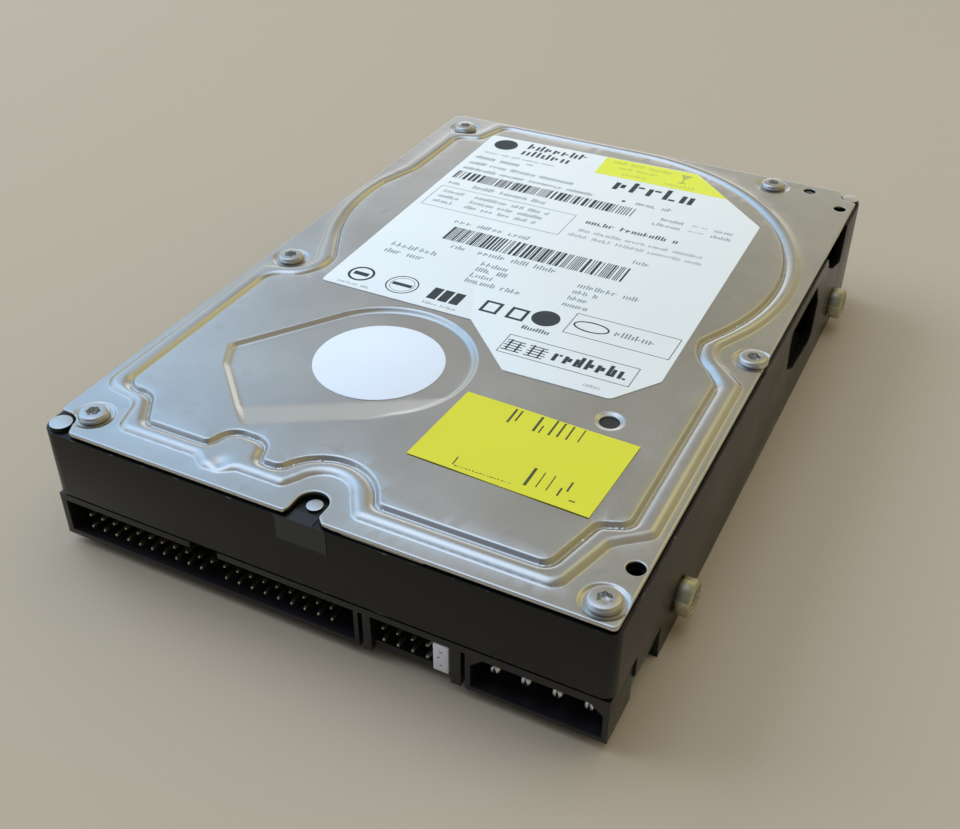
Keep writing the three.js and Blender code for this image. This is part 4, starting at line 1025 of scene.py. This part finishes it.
class Print:
    """Abstract marks printed on a label: thin closed bodies that stand for rows of type."""

    def __init__(self, surface, seed):
        self.solid = Solid()
        self.surface = surface
        self.random = random.Random(seed)

    def block(self, x0, x1, y0, y1):
        self.solid.box(x0, x1, y0, y1, self.surface - 0.01, self.surface + INK)

    def patch(self, loop):
        self.solid.prism(loop, self.surface - 0.01, self.surface + INK)

    def glyph(self, x, y, width, height, weight):
        """One mark the size of a letter: uprights and a dash, but no letter."""
        bar = height * weight
        low = height * self.random.choice((0.72, 0.72, 1.0))
        kind = self.random.randrange(5)
        self.block(x, x + bar, y, y + low)
        if kind < 3:
            tall = height * self.random.choice((0.7, 0.7, 1.0))
            self.block(x + width - bar, x + width, y, y + tall)
        if kind in (0, 3):
            dash = y + height * self.random.choice((0.0, 0.3, 0.55))
            end = x + width - (bar * 1.3 if kind == 0 else 0)
            self.block(x + bar * 1.3, end, dash, dash + bar * 0.7)
        if kind == 4:
            self.block(x + width * 0.5, x + width * 0.5 + bar, y + height * 0.25, y + height * 0.6)

    def line(self, x0, x1, y0, y1, weight=0.17, pitch=0.72, word=(3, 8)):
        """A row of marks in words."""
        height = y1 - y0
        step = height * pitch
        count = max(1, int((x1 - x0) / step))
        step = (x1 - x0) / count
        left = self.random.randint(*word)
        for i in range(count):
            if left == 0:
                left = self.random.randint(*word)
                continue
            left -= 1
            self.glyph(x0 + i * step, y0, step * 0.74, height, weight)

    def barcode(self, x0, x1, y0, y1, narrow=0.2):
        x = x0
        while x < x1 - narrow:
            bar = narrow * self.random.choice((1, 1, 1, 2, 3))
            self.block(x, min(x + bar, x1), y0, y1)
            x += bar + narrow * self.random.choice((1, 1, 1.5, 2.5))

    def frame(self, x0, x1, y0, y1, wide=0.14):
        self.block(x0, x1, y0, y0 + wide)
        self.block(x0, x1, y1 - wide, y1)
        self.block(x0, x0 + wide, y0 + wide, y1 - wide)
        self.block(x1 - wide, x1, y0 + wide, y1 - wide)

    def loop(self, x, y, rx, ry, wide, start=0, end=360):
        """A closed oval ring, or part of one."""
        turn = np.radians(np.linspace(start, end, 49))
        outer = np.column_stack([x + rx * np.cos(turn), y + ry * np.sin(turn)])
        inner = np.column_stack([x + (rx - wide) * np.cos(turn), y + (ry - wide) * np.sin(turn)])
        if end - start < 360:
            self.patch(np.vstack([outer, inner[::-1]]))
            return
        for half in (slice(0, 25), slice(24, 49)):
            self.patch(np.vstack([outer[half], inner[half][::-1]]))

    def piece(self, name, ink, slot):
        ride(self.solid.piece(name, ink))


def info_label():
    body = Solid().prism(INFO_LABEL, LABEL_BOTTOM, LABEL_TOP, soft=0.03)
    body.settled("printed_label", "label_film", "info_label", 60)

    band = Print(LABEL_TOP, 1)
    band.patch([(-6.4, 138.1), (-5.9, 129.0), (25.2, 129.4), (15.3, 138.6)])
    band.piece("label_yellow_band", "yellow_ink", "label_film")
    faint = Print(LABEL_TOP + INK, 2)
    for row in (
        (-3.9, 10.1, 135.7, 137.1), (-1.6, 7.7, 133.2, 134.6),
        (0.2, 6.1, 130.5, 131.8), (10.1, 17.6, 130.2, 131.4),
    ):
        faint.line(*row, 0.15)
    faint.patch([(12.2, 136.9), (14.9, 136.9), (13.9, 135.0), (13.2, 135.0)])
    faint.block(13.4, 13.75, 132.7, 135.1)
    faint.block(12.7, 14.5, 132.4, 132.8)
    faint.piece("label_band_marks", "faint_ink", "label_film")

    ink = Print(LABEL_TOP, 3)
    ink.patch(circle(-30.4, 133.6, 2.8))
    ink.line(-25.1, -10.0, 133.9, 136.8, 0.2, 0.72, (9, 9))
    ink.line(-25.1, -12.7, 130.3, 133.2, 0.2, 0.72, (9, 9))
    ink.line(0.6, 20.0, 123.0, 128.0, 0.22, 0.76, (9, 9))
    ink.barcode(-33.6, 9.6, 112.1, 116.0, 0.24)
    ink.barcode(-21.7, 17.8, 85.2, 91.0, 0.2)
    ink.patch(circle(5.3, 118.3, 0.45))
    ink.line(1.9, 22.4, 104.8, 106.5, 0.2)
    ink.line(16.5, 30.9, 54.1, 57.4, 0.22, 0.6, (9, 9))
    for x0, x1 in ((7.1, 10.9), (11.5, 15.3)):
        for k in range(5):
            ink.block(x0 + 0.2 * (k % 2), x1 - 0.3 * ((k + 1) % 2), 53.5 + 0.8 * k, 53.75 + 0.8 * k)
        ink.block(x0 + 0.7, x0 + 1.0, 53.5, 57.2)
        ink.block(x1 - 1.3, x1 - 1.0, 53.5, 56.6)
    ink.loop(-28.7, 65.1, 2.7, 2.7, 0.5)
    ink.block(-30.3, -27.1, 64.5, 65.7)
    ink.loop(-19.5, 65.0, 3.3, 3.3, 0.25)
    ink.block(-21.6, -17.4, 64.5, 65.5)
    for k in range(3):
        ink.block(-13.2 + 2.35 * k, -11.3 + 2.35 * k, 62.9, 67.1)
    for x in (-2.3, 3.1):
        ink.frame(x, x + 3.6, 63.3, 67.4, 0.6)
    ink.patch(circle(10.2, 66.3, 2.7))
    ink.line(7.5, 13.1, 61.2, 62.5, 0.2, 0.72, (9, 9))
    ink.frame(14.7, 35.0, 63.5, 70.8)
    ink.loop(18.9, 67.2, 3.5, 1.75, 0.35)
    ink.frame(6.7, 31.7, 52.5, 58.6)
    ink.piece("label_print_bold", "black_ink", "label_film")

    fine = Print(LABEL_TOP, 4)
    rows = [
        (-33.6, -22.5, 123.8, 125.6), (-21.4, -19.6, 125.5, 126.3), (-33.6, -7.6, 120.5, 122.0),
        (-33.6, -0.7, 117.4, 118.9), (8.2, 16.5, 117.8, 119.4), (-32.9, -29.8, 108.9, 110.4),
        (-26.9, -9.2, 108.9, 110.5), (15.5, 20.6, 113.3, 114.7), (27.3, 31.6, 113.3, 114.7),
        (14.5, 20.7, 110.7, 112.1), (27.3, 31.6, 110.7, 112.1), (-22.8, -18.6, 92.5, 94.1),
        (-17.4, -5.5, 92.5, 94.1), (16.9, 20.6, 93.1, 94.6), (-18.3, -15.2, 82.4, 83.9),
        (-12.2, 5.1, 82.4, 84.1), (-29.6, -19.2, 77.9, 79.6), (-29.6, -20.6, 75.1, 76.8),
        (-9.6, -3.7, 78.6, 80.2), (-9.6, -2.8, 76.3, 77.9), (-9.6, -4.8, 73.9, 75.4),
        (-9.6, 2.4, 71.6, 73.2), (10.8, 23.6, 79.5, 81.1), (10.8, 16.0, 77.0, 78.5),
        (10.8, 16.0, 74.5, 76.0), (10.8, 16.0, 72.0, 73.5), (23.5, 32.6, 66.5, 68.3),
    ]
    for y in (104.5, 102.0, 99.5):
        rows += [(-31.8, -26.8, y, y + 1.4), (-24.1, -24.1 + 5.2 * (y / 30 - 0.1), y, y + 1.4)]
    for x0, x1, y0, y1 in rows:
        fine.line(x0, x1, y0, y1, 0.16, 0.68)
    fine.frame(-33.5, -1.1, 97.4, 107.4)
    fine.loop(-19.5, 65.0, 2.5, 2.5, 0.12)
    fine.piece("label_print_fine", "grey_ink", "label_film")

    light = Print(LABEL_TOP, 5)
    for x0, x1, y0, y1 in [
        (-33.2, -14.8, 127.5, 128.3), (22.4, 25.7, 113.7, 114.4), (22.4, 25.7, 111.1, 111.8),
        (1.9, 28.6, 100.9, 102.2), (0.7, 29.4, 98.3, 99.6), (-31.5, -24.4, 60.6, 61.5),
        (-13.0, -6.0, 60.9, 61.8), (24.6, 27.7, 49.4, 50.4),
    ]:
        light.line(x0, x1, y0, y1, 0.12, 0.66)
    light.piece("label_print_light", "grey_ink", "label_film")


def yellow_sticker():
    """The sticker, very slightly lifted and wavy along its edges."""
    corners = [np.array(p) for p in ((8.1, 39.1), (7.2, 19.8), (38.6, 18.5), (39.4, 37.9))]
    across, along = 60, 36
    solid = Solid()
    points, count = [], (across + 1) * (along + 1)
    for level in (STICKER_TOP, LABEL_BOTTOM):
        for j in range(along + 1):
            for i in range(across + 1):
                u, v = i / across, j / along
                left = corners[1] * (1 - v) + corners[0] * v
                right = corners[2] * (1 - v) + corners[3] * v
                x, y = left * (1 - u) + right * u
                rim = min(u, 1 - u, 1.6 * v, 1.6 * (1 - v))
                lift = 0.035 * math.exp(-rim * 30) * (1 + math.sin(9 * u + 5 * v))
                crease = 0.02 * math.exp(-(((v - 0.07) * 30) ** 2)) * (0.25 < u < 0.62)
                points.append((x, y, level + lift + crease))
    row = across + 1
    faces = []
    for j in range(along):
        for i in range(across):
            a = j * row + i
            faces.append((a, a + 1, a + row + 1, a + row))
            faces.append((a + count, a + row + count, a + row + 1 + count, a + 1 + count))
    border = [i for i in range(across)]
    border += [j * row + across for j in range(along)]
    border += [along * row + i for i in range(across, 0, -1)]
    border += [j * row for j in range(along, 0, -1)]
    for k, a in enumerate(border):
        b = border[(k + 1) % len(border)]
        faces.append((b, a, a + count, b + count))
    solid.add(points, faces)
    solid.settled("yellow_paper_sticker", "yellow_paper", "yellow_sticker", 60)

    stamp = Print(STICKER_TOP + 0.004, 6)
    for x, wide, low, high in (
        (17.5, 0.4, 34.3, 38.6), (18.6, 0.3, 35.2, 38.2), (22.2, 0.45, 34.0, 38.4), (23.3, 0.25, 34.0, 36.0),
        (24.9, 0.35, 34.1, 38.4), (26.3, 0.35, 34.3, 38.2), (27.9, 0.3, 34.3, 38.1), (29.9, 0.2, 34.5, 38.0),
        (26.7, 0.5, 21.0, 25.6), (28.6, 0.18, 21.4, 25.2), (30.3, 0.18, 21.4, 25.2), (32.2, 0.3, 21.0, 23.0),
        (33.2, 0.3, 22.6, 25.0), (14.8, 0.2, 20.6, 22.6),
    ):
        stamp.block(x, x + wide, low, high)
    stamp.block(34.4, 35.4, 20.7, 20.95)
    for k in range(16):
        x = 15.3 + 0.62 * k
        stamp.block(x, x + stamp.random.uniform(0.2, 0.5), 20.35, 20.35 + stamp.random.uniform(0.06, 0.3))
    stamp.piece("sticker_stamp", "stamp_ink", "yellow_paper")


def round_label():
    solid = Solid().prism(circle(*PIVOT, 11.7, 160), FLANGE_TOP + 0.02, ROUND_LABEL_TOP, soft=0.03)
    solid.settled("round_seal_label", "white_label", "round_label", 60)


def front_tape():
    """A strip of tape down the front, folded in over the casting's edge below the cover's notch."""
    down = [(-4.4, 19.5), (4.6, 19.5), (4.6, CASTING_TOP + 0.15), (-4.4, CASTING_TOP + 0.15)]
    strip = Solid().prism(down, 0, 0.08)
    strip.points = [(x, z, y) for x, y, z in strip.points]
    strip.box(-2.2, 2.2, 0.08, 2.4, CASTING_TOP + 0.03, CASTING_TOP + 0.15)
    strip.settled("clear_tape", "seal_tape", "front_tape")


# ---- the circuit board

CHIPS = {
    "controller_chip": (-14, 50, 20, 20),
    "motor_driver_chip": (20, 60, 11, 11),
    "memory_chip": (14, 34, 10, 18),
}


def chip(name):
    """A flat package whose leads come out of each side and bend down to the board."""
    x, y, width, depth = CHIPS[name]
    top = BOARD_UNDER - 0.05
    body = Solid()
    w, d = width / 2, depth / 2
    body.box(x - w, x + w, y - d, y + d, top - 1.6, top - 0.12, soft=0.14)
    package = body.piece(name + "_package", "chip_black")
    dimple = [(0, top - 2), (0.7, top - 2), (0.7, top - 1.55), (0, top - 1.5)]
    carve(package, tool(Solid().turned(dimple, 32, (x - w + 1.8, y + d - 1.8, 0))))
    settle(package, name)
    leads = Solid()
    sides = ((1, 0, w, d), (-1, 0, w, d), (0, 1, d, w), (0, -1, d, w))
    for nx, ny, reach, half in sides[:2] if name == "memory_chip" else sides:
        count = int((2 * half - 1.6) / 0.8) + 1
        for i in range(count):
            s = (i - (count - 1) / 2) * 0.8
            for a, b, z0, z1 in ((-0.1, 0.42, top - 0.8, top - 0.65), (0.3, 0.45, top - 0.7, top - 0.02),
                                 (0.35, 0.95, top - 0.15, top)):
                a, b = reach + a, reach + b
                if nx:
                    x0, x1 = sorted((x + nx * a, x + nx * b))
                    leads.box(x0, x1, y + s - 0.16, y + s + 0.16, z0, z1)
                else:
                    y0, y1 = sorted((y + ny * a, y + ny * b))
                    leads.box(x + s - 0.16, x + s + 0.16, y0, y1, z0, z1)
    ride(leads.piece(name + "_leads", "solder"))


def circuit_board():
    board = Solid().box(-50, 50, 9.9, 20.5, BOARD_UNDER, BOARD_TOP).piece("board", "board_green")
    carve(board, block(-43.9, 43.9, 20, 92, BOARD_UNDER, BOARD_TOP), operation="UNION")
    carve(board, rod(*SPINDLE, 22.5, 0, 10, 128), *(rod(x, y, 1.5, 0, 10) for x, y in BOARD_SCREWS))
    tidy_mesh(board, soft=0.06)
    board.name = "printed_board"
    settle(board, "circuit_board")

    joints, small = Solid(), Solid()
    for x, y in BOARD_SCREWS:
        for k in range(20):
            a0, a1 = (math.radians(18 * k + s) for s in (0, 18.01))
            ring_part = [(x + r * math.cos(a), y + r * math.sin(a)) for r, a in
                         ((1.55, a0), (3.2, a0), (3.2, a1), (1.55, a1))]
            joints.prism(ring_part, BOARD_UNDER - 0.03, BOARD_UNDER + 0.01)
    cone = [(0, BOARD_UNDER - 0.7), (0.25, BOARD_UNDER - 0.6), (0.5, BOARD_UNDER - 0.2),
            (0.75, BOARD_UNDER + 0.01), (0, BOARD_UNDER + 0.01)]
    for first, count in ((DATA_FIRST_X, DATA_PINS), (JUMPER_FIRST_X, JUMPER_PINS)):
        for i in range(count):
            for y in (11.5, 13.3):
                joints.turned(cone, 10, (first + i * PIN_PITCH, y, 0))
    wide = [(r * 1.9, z) for r, z in cone]
    for i in range(4):
        joints.turned(wide, 16, (POWER_FIRST_X + i * POWER_PITCH, 11.7, 0))
    scatter = random.Random(8)
    taken = [(x, y, w / 2 + 1.6, d / 2 + 1.6) for x, y, w, d in CHIPS.values()]
    taken += [(x, y, 4, 4) for x, y in BOARD_SCREWS]
    placed = 0
    while placed < 70:
        x, y = scatter.uniform(-41, 41), scatter.uniform(17, 88)
        long_side, short_side = scatter.choice(((1.0, 0.55), (1.6, 0.8), (2.0, 1.25)))
        w, d = (long_side, short_side) if scatter.random() < 0.5 else (short_side, long_side)
        if math.hypot(x - SPINDLE[0], y - SPINDLE[1]) < 25 or any(
            abs(x - u) < w / 2 + a + 0.4 and abs(y - v) < d / 2 + b + 0.4 for u, v, a, b in taken
        ):
            continue
        taken.append((x, y, w / 2, d / 2))
        placed += 1
        low = BOARD_UNDER - 0.45
        small.box(x - w / 2, x + w / 2, y - d / 2, y + d / 2, low, BOARD_UNDER + 0.01)
        for side in (-1, 1):
            if w > d:
                ends = sorted((x + side * w / 2, x + side * (w / 2 + 0.22)))
                joints.box(*ends, y - d / 2, y + d / 2, low + 0.05, BOARD_UNDER + 0.01)
            else:
                ends = sorted((y + side * d / 2, y + side * (d / 2 + 0.22)))
                joints.box(x - w / 2, x + w / 2, *ends, low + 0.05, BOARD_UNDER + 0.01)
    ride(joints.piece("board_solder", "solder"))
    ride(small.piece("board_small_parts", "part_tan"))


# ---- carried-over CAD nodes


def finish_cad_nodes():
    """Each CAD node gets its slot's material, except the breather filter, whose near-black felt is painted
    shade; each one that stays also gets softly bevelled edges.
    """
    for entry in frame["record"]["subparts"]:
        node = frame["nodes"][entry["node"]]
        node.data.materials.clear()
        # The breather filter's felt is made near black: painted shade for the dark inside the breather hole.
        breather = entry["node"] == "breather_filter"
        node.data.materials.append(MATERIALS["felt_dark_painted_shade" if breather else entry["material_slot"]])
        if entry["node"] in REPLACED:
            continue
        weld = node.modifiers.new("weld", "WELD")
        weld.merge_threshold = 0.00001
        bevel = node.modifiers.new("bevel", "BEVEL")
        bevel.width = 0.00012
        bevel.segments = 2
        bevel.limit_method = "ANGLE"
        bevel.angle_limit = math.radians(40)
        node.data.polygons.foreach_set("use_smooth", [True] * len(node.data.polygons))
        node.modifiers.new("normals", "WEIGHTED_NORMAL")


# ---- stage, light and camera

CAMERA_AT = (82.92, -105.52, 140.66)
CAMERA_AZIMUTH = 26.64
CAMERA_ELEVATION = 36.26
CAMERA_ROLL = 0.27
FOCAL_PIXELS = 1183.2
IMAGE_WIDTH = 960
SENSOR = 36.0


def camera():
    a, e, t = (math.radians(v) for v in (CAMERA_AZIMUTH, CAMERA_ELEVATION, CAMERA_ROLL))
    back = Vector((math.sin(a) * math.cos(e), -math.cos(a) * math.cos(e), math.sin(e)))
    right = (-back).cross(Vector((0, 0, 1))).normalized()
    up = right.cross(-back)
    turned_right = right * math.cos(t) + up * math.sin(t)
    turned_up = up * math.cos(t) - right * math.sin(t)
    data = bpy.data.cameras.new("camera")
    data.sensor_width = SENSOR
    data.lens = FOCAL_PIXELS / IMAGE_WIDTH * SENSOR
    data.clip_start = 0.01
    made = bpy.data.objects.new("camera", data)
    turn = Matrix((turned_right, turned_up, back)).transposed().to_4x4()
    made.matrix_world = Matrix.Translation((Vector(CAMERA_AT) + TO_FRAME) * MM) @ turn
    bpy.context.scene.collection.objects.link(made)
    bpy.context.scene.camera = made


# The studio seen from the drive: degrees to the left of straight back, and the light from there,
# first half way up and then along the horizon.
ROUND_ABOUT = [
    (-180, (0.16, 0.17, 0.19)), (-110, (0.36, 0.30, 0.16)), (-45, (0.42, 0.36, 0.19)),
    (-22, (0.50, 0.44, 0.27)), (3, (0.38, 0.35, 0.28)), (12, (0.34, 0.32, 0.24)),
    (20, (0.40, 0.38, 0.33)), (32, (0.46, 0.46, 0.45)), (45, (0.52, 0.70, 0.90)),
    (60, (0.68, 1.02, 1.45)), (100, (0.80, 1.00, 1.25)), (140, (0.30, 0.34, 0.42)),
    (180, (0.16, 0.17, 0.19)),
]
HORIZON = [
    (-180, (0.12, 0.12, 0.12)), (-100, (0.30, 0.25, 0.13)), (-30, (0.40, 0.34, 0.17)),
    (-8, (0.62, 0.56, 0.38)), (6, (1.15, 1.12, 1.04)), (26, (1.50, 1.55, 1.60)),
    (42, (0.90, 0.88, 0.76)), (65, (0.50, 0.47, 0.34)), (120, (0.30, 0.33, 0.38)),
    (180, (0.12, 0.12, 0.12)),
]
SKY = (1.20, 1.45, 1.78)
CEILING = (0.34, 0.31, 0.24)
BEHIND = (0.16, 0.17, 0.19)
GLOW = (0.85, 0.75, 0.36)
GLOW_FROM = (0.098, 0.700, 0.707)
BACKDROP = (0.56, 0.53, 0.47)
WORLD_STRENGTH = 2.0


def dimmed(colour):
    """A light's colour, dimmed so that the world's strength restores it."""
    return shaded(colour, 1 / WORLD_STRENGTH)


def light_ramp(g, turn, stops):
    """The colour ramp of a list of headings."""
    ramp = g.node("ShaderNodeValToRGB", {"Fac": g.span(turn, -math.pi, math.pi)})
    elements = ramp.color_ramp.elements
    while len(elements) < len(stops):
        elements.new(0.5)
    for element, (degrees, colour) in zip(elements, stops):
        element.position = (degrees + 180) / 360
        element.color = dimmed(colour)
    return ramp.outputs["Color"]


def area_light(name, place, size, power, colour):
    """A soft lamp aimed at the drive, which polished metal doesn't mirror."""
    data = bpy.data.lights.new(name, "AREA")
    data.shape = "RECTANGLE"
    data.size, data.size_y = size
    data.energy = power
    data.color = colour
    made = bpy.data.objects.new(name, data)
    made.location = place
    made.rotation_euler = (-Vector(place)).to_track_quat("-Z", "Y").to_euler()
    made.visible_glossy = False
    bpy.context.scene.collection.objects.link(made)


def studio():
    floor_size = 3.0
    bm = bmesh.new()
    bmesh.ops.create_grid(bm, x_segments=8, y_segments=8, size=floor_size)
    mesh = bpy.data.meshes.new("floor")
    bm.to_mesh(mesh)
    bm.free()
    plain("floor_paper", (0.42, 0.36, 0.28), 0.75, vary=0.02, patch=3, dent=0.04)
    mesh.materials.append(MATERIALS["floor_paper"])
    floor = bpy.data.objects.new("floor", mesh)
    bpy.context.scene.collection.objects.link(floor)

    world = bpy.data.worlds.new("studio")
    world.use_nodes = True
    g = Nodes(world.node_tree)
    direction = g.node("ShaderNodeTexCoord").outputs["Generated"]
    x, y, z = g.node("ShaderNodeSeparateXYZ", {0: direction}).outputs
    turn = g.maths("ARCTAN2", g.maths("MULTIPLY", x, -1.0), y)
    low = g.mix(g.span(z, 0.10, 0.50), light_ramp(g, turn, HORIZON), light_ramp(g, turn, ROUND_ABOUT))
    high = g.mix(g.span(x, -0.30, 0.12), dimmed(SKY), dimmed(CEILING))
    high = g.mix(g.span(y, -0.05, -0.45), high, dimmed(BEHIND))
    whole = g.mix(g.span(z, 0.73, 0.90), low, high)
    whole = g.mix(g.span(g.dot(direction, GLOW_FROM), 0.970, 0.990), whole, dimmed(GLOW))
    seen = g.node("ShaderNodeLightPath").outputs["Is Camera Ray"]
    background = g.tree.nodes["Background"]
    g.feed(background.inputs["Color"], g.mix(seen, whole, dimmed(BACKDROP)))
    g.feed(background.inputs["Strength"], WORLD_STRENGTH)
    bpy.context.scene.world = world
    bpy.context.scene.view_settings.view_transform = "Standard"

    area_light("window", (-0.80, -0.05, 0.66), (0.9, 0.7), 6.5, (0.80, 0.90, 1.0))
    area_light("fill", (0.15, 0.20, 1.1), (1.0, 1.0), 4.5, (0.97, 0.99, 1.0))
    area_light("warm_side", (0.75, 0.45, 0.45), (0.4, 0.25), 1.0, (1.0, 0.86, 0.55))


# ---- the drive

top_cover()
casting()
for index, (place, spot) in enumerate(COVER_SCREWS.items()):
    cover_screw(f"cover_screw_{place}", spot, 17 * index)
for side, way in (("left", -1), ("right", 1)):
    for place, y in zip(("front", "rear"), SIDE_SCREW_Y):
        rail_screw(f"rail_screw_{side}_{place}", way, y, 23 * way + y)
for index, place in enumerate(("front_left", "front_right", "rear_left", "rear_right")):
    board_screw(f"board_screw_{place}", BOARD_SCREWS[index], 31 * index)
info_label()
yellow_sticker()
round_label()
front_tape()
connector_housing()
pin_row("data_pins_upper", DATA_FIRST_X, DATA_PINS, ROW_HIGH, -1, 13.6)
pin_row("data_pins_lower", DATA_FIRST_X, DATA_PINS, ROW_LOW, KEY_PIN, 11.8)
pin_row("jumper_pins_upper", JUMPER_FIRST_X, JUMPER_PINS, ROW_HIGH, -1, 13.6)
pin_row("jumper_pins_lower", JUMPER_FIRST_X, JUMPER_PINS, ROW_LOW, -1, 11.8)
for index in range(4):
    power_pin(f"power_pin_{index + 1}", index)
shunt()
circuit_board()
for chip_name in CHIPS:
    chip(chip_name)
finish_cad_nodes()

studio()
camera()
